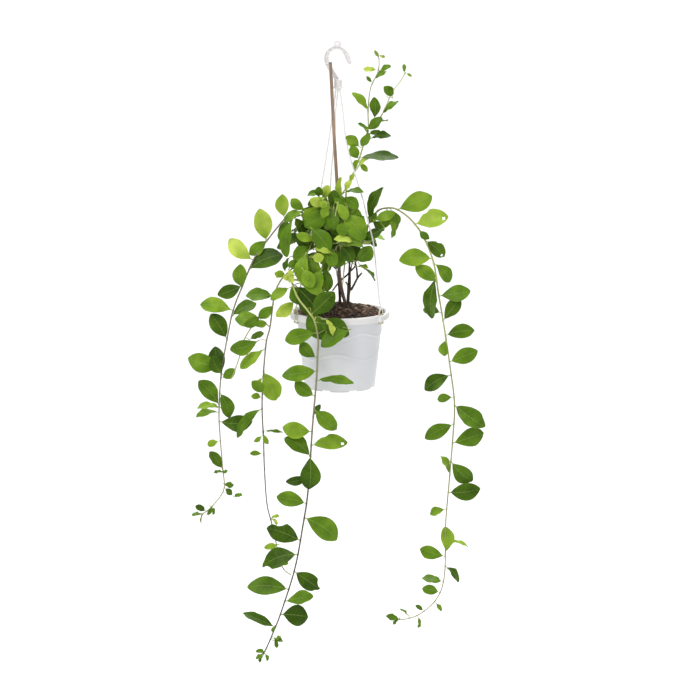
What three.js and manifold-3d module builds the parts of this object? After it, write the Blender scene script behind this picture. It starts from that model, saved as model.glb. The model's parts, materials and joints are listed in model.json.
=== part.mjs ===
// A potted curtain creeper in a white hanging pot, in millimetres, +Z up.
// The origin is the hook's saddle, the spot that hangs on a rail or a ceiling hook.
import * as THREE from 'three';
import Module from 'manifold-3d';
import { mergeVertices } from 'three/addons/utils/BufferGeometryUtils.js';

const wasm = await Module();
wasm.setup();

// Driving dimensions
const GAP = 0.3;
const SEGMENTS = 28;
const POT = {
  axisX: 3, rimZ: -454, height: 135, rimRadius: 88, mouthRadius: 82, neckRadius: 75.7,
  footRadius: 62.5, wall: 2.2, bandHeight: 11, floorLift: 7, floorThickness: 3,
  drainHoles: 6, drainRadius: 4, drainCircle: 38, drainSides: 8,
  feet: 8, archWidth: 15, archHeight: 5.5, archSides: 12,
};
const LUG = { circle: 85.5, width: 17, outer: 91.5, slotLength: 12, slotWidth: 3.4 };
const LUG_ANGLES = { left: 207, right: -33, back: 87 };
const MIX = { crownZ: -443.5, drop: 16, lump: 1.6, rings: [0.18, 0.36, 0.54, 0.72, 0.88] };
const HOOK = {
  depth: 8, web: 3.2, flangeLip: 1.3, earX: -1, earZ: 10, earRadius: 6.5, earHole: 1.8,
  collarRadius: 5.6, collarTop: -50, flangeRadius: 9, flangeTop: -63, flangeBase: -66,
  socketCircle: 3.9, socketTop: -58, earSides: 14, holeSides: 8, collarSides: 16, flangeSides: 20,
};
const STRAND = {
  radius: 1.2, legSpread: 4.2, shoulderZ: -450, apexZ: -443, barZ: -469.6,
  sides: 5, runSteps: 11, legSteps: 3,
};
const LEAF = {
  widthShare: 0.47, petiole: 5, thickness: 1.4, small: 40, spacing: 9, setback: 1.5, wave: 1.1,
  crownMin: 42, crownSpread: 18, shortStations: [0.32, 0.7], longStations: [0.2, 0.5, 0.78],
};
const CROWN = { x: -14, y: 0, z: -320, radiusX: 76, radiusY: 72, radiusZ: 84, reach: 0.6 };
const WOOD = { sides: 5, step: 32, twig: 14 };
const CROWN_STEM = { steps: 4, radii: [1.5, 1.0], shortest: 5 };
const SHOOT_MIN = 38;
const BRANCH_STEP = 20;
const TRIES = 8;
const HOOK_STEPS = 18;
const CLEARANCE = 0.35;
const MERGE = 1e-3;

// The hook's centreline in the XZ plane, from the tip over the saddle to the collar,
// each row x, z and half of the strip's width.
const HOOK_LINE = [
  [20.5, -25, 3], [18.5, -17, 4.4], [13.5, -7, 4.2], [7.5, 0, 3.4], [0, 3.2, 3.2],
  [-8, 2.5, 3.4], [-15.5, -3, 4], [-19.8, -12, 4.3], [-18.5, -22, 4.3], [-13.5, -32, 4.3],
  [-8, -41, 4.2], [-3, -48, 4], [-1, -52, 4],
];

// Routes of the hanger's strands between the collar and their lugs.
const STRAND_ROUTES = {
  left: [[-8.5, -6, -105], [-15, -11, -147], [-29, -19, -233], [-50, -29, -330], [-69, -37, -425]],
  right: [[8, -7, -101], [14, -13, -155], [26, -18, -201], [42, -28, -251], [52, -34, -292],
    [62, -39, -336], [71, -44, -420]],
  back: [[-4, 12, -105], [-6, 21, -147], [-13, 39, -233], [-14, 58, -320], [-2, 76, -400]],
};
const STAKE = {
  radii: [2.9, 3.2], sides: 8, steps: 11,
  route: [[-13, -15, -21], [-7, -14, -141], [-1, -10, -243], [1, -6, -322], [1.5, -4, -368],
    [4, -3, -403], [9, -3, -427], [12, -2, -441], [13, 2, -480], [14, 5, -520]],
};

// Woody limbs: points, then the radius at the first and the last of them.
const LIMBS = [
  { points: [[3, 5, -458], [3.5, 5, -437], [2.5, 5, -418], [1.5, 5, -404], [0.7, 5, -389],
    [1, 5, -372], [-6, 7, -345], [-14, 8, -318]], radii: [3, 2] },
  { points: [[18.5, -8, -458], [18, -7, -441], [18.7, -6, -430], [20.5, -5, -417], [23.6, -4, -416],
    [28.7, -3, -407], [34.5, -2, -396], [42, -2, -387]], radii: [2.9, 1.7] },
  { points: [[34, -2, -397], [33, -1, -381], [31, 0, -372], [28, 2, -345], [24, 4, -318]],
    radii: [1.9, 1.6] },
  { points: [[20, -5, -419], [16.8, -6, -408], [13.5, -7, -402]], radii: [1.7, 1.3] },
  { points: [[21.5, -5, -417], [21.5, -5, -389], [20.8, -4, -381], [19, -3, -366], [16, -2, -345]],
    radii: [1.7, 1.4] },
  { points: [[2, 5, -404], [8, 3, -398], [15.3, 1, -392], [22, 0, -384], [27.5, 0, -379], [31, 0, -374]],
    radii: [2, 1.6] },
  { points: [[21.5, 0, -384.5], [24, 2, -375], [26.5, 4, -363]], radii: [1.4, 1.1] },
  { points: [[1, 5, -376], [-4, 3, -380], [-10, 1, -374]], radii: [1.5, 1.2] },
  { points: [[1, 5, -406], [-4, 4, -412], [-10, 3, -420]], radii: [1.6, 1.3] },
  { points: [[-16, 24, -460], [-18, 25, -430], [-24, 28, -395], [-30, 28, -350]], radii: [3, 2] },
  { points: [[16, 19, -460], [17.5, 21, -440], [18.5, 24, -415], [20, 28, -395], [21, 32, -352]],
    radii: [2.9, 1.9] },
  { points: [[0.5, 5, -378], [-10, -2, -372], [-24, -9, -366], [-38, -14, -360]], radii: [2.1, 1.7] },
];

// Roots that join the stems' bases under the mix
const ROOTS = [
  { points: [[3, 5, -455], [-7, 15, -457], [-16, 24, -456]], radii: [2.6, 2.4] },
  { points: [[3, 5, -455], [9, 13, -457], [16, 19, -456]], radii: [2.5, 2.3] },
];

// Long shoots. Each leaf row holds the distance of its foot along the shoot, the clock angle
// that its blade points to as seen from the front (0 right, 90 up), its length, and how far
// the upper face is rolled away from the viewer, upwards.
const VINES = {
  vine_left: {
    seed: 11, radii: [1.7, 1.1], step: 32, colour: 0x5f9a2c,
    route: [[-9, 7, -336], [-23, 2, -322], [-45, 2, -298], [-65, 0, -280], [-89, -4, -288],
      [-121, -10, -325], [-146, -13, -359], [-168, -16, -410], [-182, -18, -445], [-191, -18, -481],
      [-206, -18, -564], [-211, -18, -631], [-210, -18, -674], [-206, -18, -735], [-204, -18, -775],
      [-221, -20, -802], [-240, -22, -819], [-257, -24, -823]],
    leaves: [
      [112, 97, 43, 5], [107, -97, 48, 40], [158, -138, 42, 10], [163, 101, 58, 18], [203, 141, 56, 25],
      [222, 23, 66, 28], [251, -155, 48, 10], [257, 90, 45, 5], [299, 170, 58, 35], [311, 26, 50, 55],
      [349, -141, 44, 40], [351, 123, 53, 8], [399, 169, 62, 22], [417, 100, 52, 8], [422, 34, 32, 15],
      [448, -71, 50, 30], [458, 68, 26, 30], [472, 130, 58, 30], [476, -166, 38, 60], [501, 0, 60, 8],
      [537, -157, 26, 10], [590, 127, 40, 35], [624, -33, 26, 30], [664, -116, 18, 10], [688, 141, 18, 10],
      [697, -70, 16, 10],
    ],
  },
  vine_inner: {
    seed: 23, radii: [1.6, 1.0], step: 32, colour: 0x6aa334,
    route: [[-36, -13, -361], [-60, -24, -360], [-88, -40, -382], [-102, -44, -398], [-111, -48, -423],
      [-118, -50, -474], [-126, -50, -510], [-133, -50, -605], [-131, -50, -678], [-130, -50, -727],
      [-126, -50, -793], [-117, -50, -833], [-107, -52, -880], [-98, -56, -911], [-83, -60, -923]],
    leaves: [
      [112, -179, 50, 45], [136, -141, 32, 12], [206, -139, 56, 60], [247, -68, 60, 8], [257, -126, 17, 10],
      [280, -152, 19, 10], [314, -127, 72, 50], [355, -3, 35, 42], [357, -68, 23, 16], [361, -139, 22, 32],
      [397, 177, 25, 12], [506, -24, 14, 10], [560, -148, 21, 10], [604, 30, 14, 10],
    ],
    branch: {
      radii: [1.1, 0.9],
      route: [[-119, -50, -474], [-134, -55, -464], [-150, -60, -474], [-165, -64, -500],
        [-172, -66, -528], [-185, -68, -563]],
      leaves: [[14, 172, 50, 30], [36, 15, 26, 10], [110, -51, 30, 12], [116, -140, 20, 20]],
    },
  },
  vine_front: {
    seed: 31, radii: [1.9, 1.0], step: 32, colour: 0x4f8d24,
    route: [[-37, -15, -359], [-45, -34, -352], [-64, -54, -362], [-80, -63, -384], [-70, -78, -416],
      [-52, -92, -438], [-40, -98, -456], [-34, -100, -488], [-35, -100, -514], [-37, -100, -558],
      [-44, -100, -639], [-52, -100, -754], [-62, -100, -823], [-76, -100, -898], [-100, -102, -976],
      [-113, -104, -1010], [-128, -106, -1045], [-138, -108, -1058]],
    leaves: [
      [92, -72, 40, 20], [96, -118, 58, 55], [112, -51, 62, 20], [160, 45, 58, 12], [167, -70, 40, 15],
      [174, -21, 62, 15], [193, -166, 57, 8], [237, 140, 40, 8], [260, -175, 61, 26], [277, -1, 65, 58],
      [304, 146, 43, 8], [327, -40, 53, 26], [341, 62, 25, 10], [367, 172, 52, 8], [392, 4, 63, 28],
      [413, 142, 56, 30], [416, -91, 53, 8], [446, -164, 42, 12], [497, 171, 54, 8], [523, -36, 73, 26],
      [565, 161, 63, 10], [591, -158, 68, 34], [622, -35, 56, 8], [657, 180, 74, 28], [680, 15, 53, 55],
      [705, -4, 50, 6], [730, 160, 62, 52], [750, -29, 17, 10], [776, -169, 17, 10],
    ],
  },
  vine_right: {
    seed: 47, radii: [1.9, 1.0], step: 32, colour: 0x558f27,
    route: [[31, 0.5, -368], [37, 6, -346], [49, 4, -323], [53, 2, -302], [61, 0, -289], [69, -2, -278],
      [80, -4, -273], [99, -6, -273], [119, -8, -285], [134, -10, -300], [149, -10, -322],
      [167, -10, -367], [177, -10, -425], [188, -10, -488], [199, -10, -558], [207, -10, -621],
      [205, -10, -682], [200, -10, -756], [194, -10, -844], [193, -10, -939], [179, -12, -984],
      [146, -16, -1013], [112, -20, -1021], [91, -22, -1015]],
    leaves: [
      [79, -35, 30, 12], [94, 69, 48, 26], [102, -124, 28, 10], [119, -100, 36, 10], [123, -75, 42, 38],
      [137, 18, 64, 5], [177, 12, 60, 32], [187, -46, 26, 10], [211, -40, 46, 8], [246, -178, 60, 12],
      [254, -51, 46, 20], [281, -95, 72, 55], [289, 141, 48, 10], [313, 11, 56, 18], [345, 167, 36, 28],
      [358, 54, 50, 5], [385, 11, 52, 6], [390, -92, 32, 15], [433, 24, 54, 5], [457, -148, 54, 20],
      [498, -170, 30, 10], [512, -37, 66, 38], [547, -153, 58, 6], [582, 15, 60, 6], [615, -45, 54, 6],
      [641, 117, 38, 60], [673, 8, 58, 14], [705, -161, 32, 30], [767, -13, 44, 68], [787, 89, 48, 6],
      [793, 164, 48, 8], [811, -53, 42, 68], [840, 172, 40, 60], [863, 163, 34, 8], [881, -54, 22, 42],
      [908, 143, 20, 10], [923, -84, 24, 50], [941, 133, 22, 22], [958, -110, 16, 10],
    ],
  },
  upright_shoot: {
    seed: 59, radii: [1.9, 0.8], step: 27, colour: 0x76ab35,
    route: [[23, 4, -320], [19, 7, -290], [14, 8, -262], [17, 6, -232], [32, 6, -201], [43, 6, -168],
      [52, 6, -135], [52, 6, -107], [56, 6, -67], [69, 4, -37], [70, 2, -13], [64, 0, -2]],
    leaves: [
      [134, -47, 24, 10], [141, 0, 58, 62], [146, 133, 26, 10], [160, 143, 27, 8], [178, -116, 20, 8],
      [183, 9, 26, 28], [190, 134, 22, 45], [197, 21, 32, 50], [206, 101, 18, 30], [221, 129, 44, 42],
      [271, 131, 16, 10], [276, 37, 27, 38], [298, -175, 26, 28], [302, 22, 17, 45], [316, 122, 16, 20],
      [322, -15, 13, 25],
    ],
    branch: {
      radii: [1.0, 0.7],
      route: [[52, 6, -136], [64, 2, -123], [76, 0, -111], [93, -4, -73], [107, -6, -54], [116, -6, -38]],
      leaves: [[18, 90, 34, 30], [34, 37, 38, 46], [66, 115, 20, 22], [68, 70, 20, 30], [102, 118, 25, 28],
        [116, 96, 17, 22], [118, -30, 13, 22]],
    },
  },
};

// Short leafy shoots of the crown, spread over a rounded envelope, and those that hang
// over the front of the rim.
const CROWN_SHOOTS = 17;
const RIM_SHOOTS = [[-22, -86, -418], [-56, -70, -402], [8, -60, -396]];
const CROWN_GREENS = [0x4c8a22, 0x5a972b, 0x437c1e, 0x74a936, 0x3f7420];

// Seeded draws between 0 and 1
function seeded(seed) {
  let state = seed;
  return () => {
    state = (1664525 * state + 1013904223) % 4294967296;
    return state / 4294967296;
  };
}

const vector = ([x, y, z]) => new THREE.Vector3(x, y, z);
const degrees = THREE.MathUtils.degToRad;

// A geometry with shared corners and no collapsed faces
function sealed(geometry) {
  const bare = new THREE.BufferGeometry();
  bare.setAttribute('position', geometry.getAttribute('position').clone());
  if (geometry.index) bare.setIndex(geometry.index.clone());
  const merged = mergeVertices(mergeVertices(bare, MERGE), MERGE / 10);
  const corners = Array.from(merged.index.array);
  const kept = [];
  for (let i = 0; i < corners.length; i += 3) {
    const face = corners.slice(i, i + 3);
    if (new Set(face).size === 3) kept.push(...face);
  }
  merged.setIndex(kept);
  return merged;
}

function solid(geometry) {
  const shell = sealed(geometry);
  const vertProperties = Float32Array.from(shell.getAttribute('position').array);
  const triVerts = Uint32Array.from(shell.index.array);
  return new wasm.Manifold(new wasm.Mesh({ numProp: 3, vertProperties, triVerts }));
}

// One body of many: the outer shell is kept, so a hollow that fusing seals is filled
function joined(geometries) {
  const whole = geometries.map(solid).reduce((body, piece) => body.add(piece));
  const shells = solid(geometryOf(whole)).decompose();
  return shells.reduce((outer, shell) => (shell.volume() > outer.volume() ? shell : outer));
}

function geometryOf(manifold) {
  const mesh = manifold.getMesh();
  const geometry = new THREE.BufferGeometry();
  geometry.setAttribute('position', new THREE.Float32BufferAttribute(mesh.vertProperties, 3));
  geometry.setIndex(Array.from(mesh.triVerts));
  return geometry;
}

// Faces between neighbouring rings of corners, and flat ends. The corners of a ring run
// counter-clockwise about the way forward. Where turned says so for a side and a ring, the
// quad is split along its other diagonal. A last ring of one corner closes to a point.
function skin(rings, turned = () => false) {
  const count = rings[0].length;
  const points = rings.flat();
  const index = [];
  for (let k = 0; k + 1 < rings.length; k += 1) {
    const pointed = rings[k + 1].length === 1;
    for (let i = 0; i < count; i += 1) {
      const a = k * count + i;
      const b = k * count + (i + 1) % count;
      const c = pointed ? (k + 1) * count : b + count;
      const d = pointed ? c : a + count;
      if (pointed) index.push(a, b, c);
      else if (turned(i, k)) index.push(a, b, d, b, c, d);
      else index.push(a, b, c, a, c, d);
    }
  }
  for (let i = 1; i + 1 < count; i += 1) index.push(0, i + 1, i);
  const last = rings.length - 1;
  if (rings[last].length > 1) {
    for (let i = 1; i + 1 < count; i += 1) index.push(last * count, last * count + i, last * count + i + 1);
  }
  const geometry = new THREE.BufferGeometry();
  geometry.setAttribute('position', new THREE.Float32BufferAttribute(points.flatMap((p) => p.toArray()), 3));
  geometry.setIndex(index);
  return geometry;
}

function curveThrough(rows) {
  return new THREE.CatmullRomCurve3(rows.map(vector), false, 'catmullrom', 0.5);
}

// Rings of a round stem between two shares of a curve's length
function stemRings(curve, { start = 0, end = 1, steps, radii, sides = 4, swell = 0 }) {
  const rings = [];
  const up = new THREE.Vector3();
  let heading = null;
  for (let k = 0; k <= steps; k += 1) {
    const share = start + (end - start) * (k / steps);
    const centre = curve.getPointAt(share);
    const tangent = curve.getTangentAt(share);
    if (heading) up.applyQuaternion(new THREE.Quaternion().setFromUnitVectors(heading, tangent));
    else up.set(tangent.z, tangent.x, tangent.y).cross(tangent).normalize();
    heading = tangent;
    const side = new THREE.Vector3().crossVectors(tangent, up);
    const radius = THREE.MathUtils.lerp(radii[0], radii[1], share) + swell;
    const ring = [];
    for (let i = 0; i < sides; i += 1) {
      const angle = (2 * Math.PI * i) / sides;
      ring.push(centre.clone()
        .addScaledVector(up, radius * Math.cos(angle))
        .addScaledVector(side, radius * Math.sin(angle)));
    }
    rings.push(ring);
  }
  return rings;
}

// The point of a stem's axis at a distance along its curve, on the straight between two rings
function stemPoint(curve, { start = 0, end = 1, steps }, distance) {
  const share = Math.max(distance / curve.getLength(), start);
  const place = Math.min(((share - start) / (end - start)) * steps, steps - 0.001);
  const k = Math.floor(place);
  const at = (index) => curve.getPointAt(start + (end - start) * (index / steps));
  return at(k).lerp(at(k + 1), place - k);
}

// A leaf is a foot, the way it points, its upper face's normal, a length and its form.
// The midrib is an arc that droops by bend, the two halves rise by fold, and the margin waves.
function midrib(leaf, share) {
  const turn = leaf.bend * (0.5 - share);
  const chord = 2 * Math.sin(leaf.bend / 2);
  const forward = (Math.sin(leaf.bend / 2) - Math.sin(turn)) / chord;
  const rise = (Math.cos(turn) - Math.cos(leaf.bend / 2)) / chord;
  const point = leaf.foot.clone()
    .addScaledVector(leaf.along, forward * leaf.length)
    .addScaledVector(leaf.face, rise * leaf.length);
  const normal = leaf.face.clone().multiplyScalar(Math.cos(turn))
    .addScaledVector(leaf.along, -Math.sin(turn));
  return { point, normal };
}

function halfWidth(leaf, share) {
  const half = (LEAF.widthShare * leaf.length) / 2;
  return half * Math.sin(Math.PI * share ** 1.1) ** 0.8;
}

// Rings of a blade: left edge, upper midrib, right edge, lower midrib. The first is the
// stalk's foot, an upright edge sunk in the stem, and the last is the tip.
function leafRings(leaf, swell = 0) {
  const side = new THREE.Vector3().crossVectors(leaf.face, leaf.along);
  const thick = LEAF.thickness / 2 + swell;
  const neck = Math.min(LEAF.petiole, 0.2 * leaf.length) / leaf.length;
  const stations = leaf.length < LEAF.small ? LEAF.shortStations : LEAF.longStations;
  const rings = stations.map((station, k) => {
    const { point, normal } = midrib(leaf, neck + (1 - neck) * station);
    const half = halfWidth(leaf, station) + swell;
    const edge = (sign) => point.clone()
      .addScaledVector(side, sign * half)
      .addScaledVector(normal, leaf.fold * half + LEAF.wave * Math.sin(2.4 * k + sign * 1.1 + leaf.phase));
    return [
      edge(1), point.clone().addScaledVector(normal, thick),
      edge(-1), point.clone().addScaledVector(normal, -thick),
    ];
  });
  const upper = leaf.foot.clone().addScaledVector(leaf.face, thick);
  const lower = leaf.foot.clone().addScaledVector(leaf.face, -thick);
  return [[upper, upper, lower, lower], ...rings, [midrib(leaf, 1 + swell / leaf.length).point]];
}

// Quads are split alike on both faces of the blade, and the other way where the stalk widens.
const alikeFrom = (first) => (side, ring) => ring >= first && side % 2 === 1;
const leafGeometry = (leaf) => skin(leafRings(leaf), alikeFrom(1));

// Guards are slightly swollen outlines of what already stands, kept as triangles.
// A new blade or stem is only placed where none of its edges passes through a guard's face.
const guards = [];

function outlineOf(geometry) {
  const position = geometry.getAttribute('position');
  const corners = [];
  for (let i = 0; i < position.count; i += 1) {
    corners.push(new THREE.Vector3().fromBufferAttribute(position, i));
  }
  const faces = [];
  for (let i = 0; i < geometry.index.count; i += 3) {
    faces.push([0, 1, 2].map((j) => corners[geometry.index.getX(i + j)]));
  }
  return { faces, box: new THREE.Box3().setFromPoints(corners) };
}

function pierces(from, to, [a, b, c]) {
  const way = to.clone().sub(from);
  const first = b.clone().sub(a);
  const second = c.clone().sub(a);
  const across = way.clone().cross(second);
  const det = first.dot(across);
  if (Math.abs(det) < 1e-12) return false;
  const offset = from.clone().sub(a);
  const u = offset.dot(across) / det;
  if (u < 0 || u > 1) return false;
  offset.cross(first);
  const v = way.dot(offset) / det;
  if (v < 0 || u + v > 1) return false;
  const t = second.dot(offset) / det;
  return t >= 0 && t <= 1;
}

function faceBox(face) {
  return new THREE.Box3().setFromPoints(face);
}

function edgesPierce(one, other) {
  const targets = other.faces.filter((face) => faceBox(face).intersectsBox(one.box));
  const sources = one.faces.filter((face) => faceBox(face).intersectsBox(other.box));
  return sources.some((face) => {
    const box = faceBox(face);
    const near = targets.filter((target) => faceBox(target).intersectsBox(box));
    return near.some((target) => [0, 1, 2].some((j) => pierces(face[j], face[(j + 1) % 3], target)));
  });
}

function cross(one, other) {
  if (!one.box.intersectsBox(other.box)) return false;
  return edgesPierce(one, other) || edgesPierce(other, one);
}

function guardStem(owner, rings) {
  guards.push({ owner, stem: true, whole: outlineOf(skin(rings)) });
}

// Leaves of one shoot may share a foot, so between them only the blades are tried.
function leafOutlines(leaf) {
  const rings = leafRings(leaf, CLEARANCE);
  return {
    whole: outlineOf(skin(rings, alikeFrom(1))),
    blade: outlineOf(skin(rings.slice(1), alikeFrom(0))),
  };
}

function leafFits(owner, outlines) {
  return guards.every((guard) => {
    if (guard.owner !== owner) return !cross(outlines.whole, guard.whole);
    return guard.stem || !cross(outlines.blade, guard.blade);
  });
}

// Draws leaves until one fits between what already stands, and gives up after a few tries.
function placeLeaf(owner, draw) {
  for (let attempt = 0; attempt < TRIES; attempt += 1) {
    const leaf = draw(attempt);
    const outlines = leafOutlines(leaf);
    if (leafFits(owner, outlines)) {
      guards.push({ owner, stem: false, ...outlines });
      return [leafGeometry(leaf)];
    }
  }
  return [];
}

function squared(direction, along) {
  return direction.addScaledVector(along, -direction.dot(along)).normalize();
}

function leafForm(random) {
  return { bend: 0.25 + 0.5 * random(), fold: 0.1 + 0.22 * random(), phase: 2 * Math.PI * random() };
}

// A leaf seen from the front at a clock angle, with a small tilt out of that plane
function clockLeaf(foot, [, clock, length, roll], attempt, random) {
  const spread = 1 + 0.5 * attempt;
  const angle = degrees(clock + 5 * spread * (random() - 0.5));
  const tilt = degrees(24 * spread * (random() - 0.5));
  const across = Math.cos(tilt);
  const along = new THREE.Vector3(Math.cos(angle) * across, -Math.sin(tilt), Math.sin(angle) * across);
  const face = squared(new THREE.Vector3(0, -1, 0), along);
  const lift = new THREE.Vector3().crossVectors(along, face);
  const turn = degrees(roll + 10 * spread * (random() - 0.5)) * (lift.z < -0.05 ? -1 : 1);
  face.multiplyScalar(Math.cos(turn)).addScaledVector(lift, Math.sin(turn));
  return { foot, along, face, length, ...leafForm(random) };
}

// A leaf of the crown: alternate on its shoot, leaning out of the crown and drooping
function crownLeaf(foot, heading, order, attempt, random) {
  const out = foot.clone().sub(new THREE.Vector3(CROWN.x, CROWN.y, CROWN.z)).normalize();
  const side = new THREE.Vector3(heading.y, -heading.x, 0).normalize().multiplyScalar(order % 2 ? 1 : -1);
  const along = heading.clone().multiplyScalar(0.35 + 0.3 * random())
    .addScaledVector(side, 0.55 + 0.4 * random() - 0.06 * attempt)
    .addScaledVector(out, 0.15 + 0.5 * random());
  along.z -= 0.1 + 0.55 * random();
  along.normalize();
  const face = out.clone().multiplyScalar(0.8);
  face.z += 0.35 + 0.3 * random();
  face.x += 0.6 * (random() - 0.5);
  face.y += 0.6 * (random() - 0.5);
  squared(face, along);
  const length = LEAF.crownMin + LEAF.crownSpread * random() - 2 * attempt;
  return { foot, along, face, length, ...leafForm(random) };
}

// Nodes in the order they are built
const part = new THREE.Group();

function addNode(name, geometry, colour, roughness, opacity = 1) {
  const material = new THREE.MeshStandardMaterial({
    color: colour, roughness, metalness: 0, transparent: opacity < 1, opacity,
  });
  const mesh = new THREE.Mesh(geometry, material);
  mesh.name = name;
  part.add(mesh);
}

// Rotation of a profile of radius and height rows about the pot's axis
function turnedOnPot(rows) {
  const lathe = new THREE.LatheGeometry(rows.map(([r, z]) => new THREE.Vector2(r, z)), SEGMENTS);
  return lathe.rotateX(Math.PI / 2).translate(POT.axisX, 0, 0);
}

function rod(radius, length, sides) {
  return new THREE.CylinderGeometry(radius, radius, length, sides).rotateX(Math.PI / 2);
}

function aroundPot(geometry, angle) {
  return geometry.rotateZ(degrees(angle)).translate(POT.axisX, 0, 0);
}

const potBase = POT.rimZ - POT.height;
const potFloor = potBase + POT.floorLift;
const bandBase = POT.rimZ - POT.bandHeight;

// Inner face of the pot from the mouth down to the floor, as radius and height
const POT_INSIDE = [
  [POT.mouthRadius, POT.rimZ],
  [POT.mouthRadius - 1.5, POT.rimZ - 5],
  [POT.neckRadius - POT.wall, bandBase - 6],
  [POT.footRadius - POT.wall + 0.8, potFloor + POT.floorThickness],
];

function potBody() {
  const profile = [
    [0, potFloor],
    [POT.footRadius - POT.wall, potFloor],
    [POT.footRadius - POT.wall, potBase],
    [POT.footRadius, potBase],
    [POT.neckRadius, bandBase - 3],
    [POT.rimRadius - 1.4, bandBase - 0.6],
    [POT.rimRadius, bandBase + 0.8],
    [POT.rimRadius, POT.rimZ - 1],
    [POT.rimRadius - 1, POT.rimZ],
    ...POT_INSIDE,
    [0, potFloor + POT.floorThickness],
  ];
  let pot = solid(turnedOnPot(profile));
  for (const angle of Object.values(LUG_ANGLES)) {
    const reach = LUG.outer - LUG.circle + 2;
    const lug = new THREE.BoxGeometry(reach, LUG.width, POT.bandHeight - 1);
    lug.translate(LUG.outer - reach / 2, 0, POT.rimZ - POT.bandHeight / 2);
    pot = pot.add(solid(aroundPot(lug, angle)));
    const slot = new THREE.BoxGeometry(LUG.slotWidth, LUG.slotLength, 3 * POT.bandHeight);
    slot.translate(LUG.circle, 0, POT.rimZ - POT.bandHeight / 2);
    pot = pot.subtract(solid(aroundPot(slot, angle)));
  }
  for (let i = 0; i < POT.drainHoles; i += 1) {
    const hole = rod(POT.drainRadius, 4 * POT.floorThickness, POT.drainSides);
    hole.translate(POT.drainCircle, 0, potFloor + POT.floorThickness / 2);
    pot = pot.subtract(solid(aroundPot(hole, (360 * i) / POT.drainHoles)));
  }
  for (let i = 0; i < POT.feet; i += 1) {
    const arch = rod(POT.archWidth / 2, 8 * POT.wall, POT.archSides);
    arch.rotateX(Math.PI / 2).rotateZ(Math.PI / 2);
    arch.scale(1, 1, (2 * POT.archHeight) / POT.archWidth);
    arch.translate(POT.footRadius - POT.wall / 2, 0, potBase);
    pot = pot.subtract(solid(aroundPot(arch, (360 * (i + 0.5)) / POT.feet - 90)));
  }
  return pot;
}

function mixHeight(x, y, radius) {
  const lumps = Math.sin(0.31 * x + 1.3) * Math.cos(0.27 * y) + Math.sin(0.17 * (x + y));
  return MIX.crownZ - MIX.drop * (radius / POT.mouthRadius) ** 2 + MIX.lump * lumps;
}

function mixBody() {
  const fit = GAP + 0.1;
  const rim = POT.mouthRadius - 1.5 - fit;
  const top = MIX.rings.map((share) => [share * rim, 0]);
  const wall = POT_INSIDE.slice(1).map(([r, z]) => [r - fit, z - 2 * GAP]);
  const floor = potFloor + POT.floorThickness + GAP;
  wall[wall.length - 1][1] = floor;
  const geometry = turnedOnPot([[0, floor], ...wall.reverse(), ...top.reverse(), [0, 0]]);
  const position = geometry.getAttribute('position');
  for (let i = 0; i < position.count; i += 1) {
    if (position.getZ(i) > -1) {
      const x = position.getX(i) - POT.axisX;
      const y = position.getY(i);
      position.setZ(i, mixHeight(x, y, Math.hypot(x, y)));
    }
  }
  return solid(geometry);
}

// Outline of the hook's strip, inset from its edges, as a flat slab about the XZ plane
function strip(inset, depth) {
  const line = new THREE.CatmullRomCurve3(HOOK_LINE.map(([x, z, half]) => new THREE.Vector3(x, z, half)));
  const length = line.getLength();
  const left = [];
  const right = [];
  for (let k = 0; k <= HOOK_STEPS; k += 1) {
    const share = inset / length + (1 - inset / length) * (k / HOOK_STEPS);
    const point = line.getPoint(share);
    const ahead = line.getTangent(share);
    ahead.z = 0;
    ahead.normalize();
    const half = point.z - inset;
    left.push(new THREE.Vector2(point.x - ahead.y * half, point.y + ahead.x * half));
    right.push(new THREE.Vector2(point.x + ahead.y * half, point.y - ahead.x * half));
  }
  const shape = new THREE.Shape([...left, ...right.reverse()]);
  const slab = new THREE.ExtrudeGeometry(shape, { depth, bevelEnabled: false });
  return slab.translate(0, 0, -depth / 2).rotateX(Math.PI / 2);
}

function hookBody() {
  const acrossEar = (geometry) => geometry.rotateX(Math.PI / 2).translate(HOOK.earX, 0, HOOK.earZ);
  const ear = acrossEar(rod(HOOK.earRadius, HOOK.depth - 1, HOOK.earSides));
  const earHole = acrossEar(rod(HOOK.earHole, 3 * HOOK.depth, HOOK.holeSides));
  const collarHeight = HOOK.collarTop - HOOK.flangeTop + 1;
  const collar = rod(HOOK.collarRadius, collarHeight, HOOK.collarSides);
  collar.translate(0, 0, HOOK.collarTop - collarHeight / 2);
  const flangeHeight = HOOK.flangeTop - HOOK.flangeBase;
  const flange = rod(HOOK.flangeRadius, flangeHeight, HOOK.flangeSides);
  flange.translate(0, 0, HOOK.flangeBase + flangeHeight / 2);
  const recess = (HOOK.depth - HOOK.web) / 2;
  let hook = solid(strip(0, HOOK.depth)).add(solid(ear));
  for (const side of [-1, 1]) {
    const pocket = strip(HOOK.flangeLip, recess + 1);
    pocket.translate(0, side * (HOOK.web / 2 + (recess + 1) / 2), 0);
    hook = hook.subtract(solid(pocket));
  }
  hook = hook.add(joined([collar, flange])).subtract(solid(earHole));
  for (const angle of Object.values(LUG_ANGLES)) {
    const socket = rod(STRAND.radius + GAP, HOOK.socketTop - HOOK.flangeBase + 4, HOOK.holeSides);
    socket.translate(HOOK.socketCircle, 0, (HOOK.socketTop + HOOK.flangeBase - 4) / 2);
    hook = hook.subtract(solid(socket.rotateZ(degrees(angle))));
  }
  return hook;
}

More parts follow.
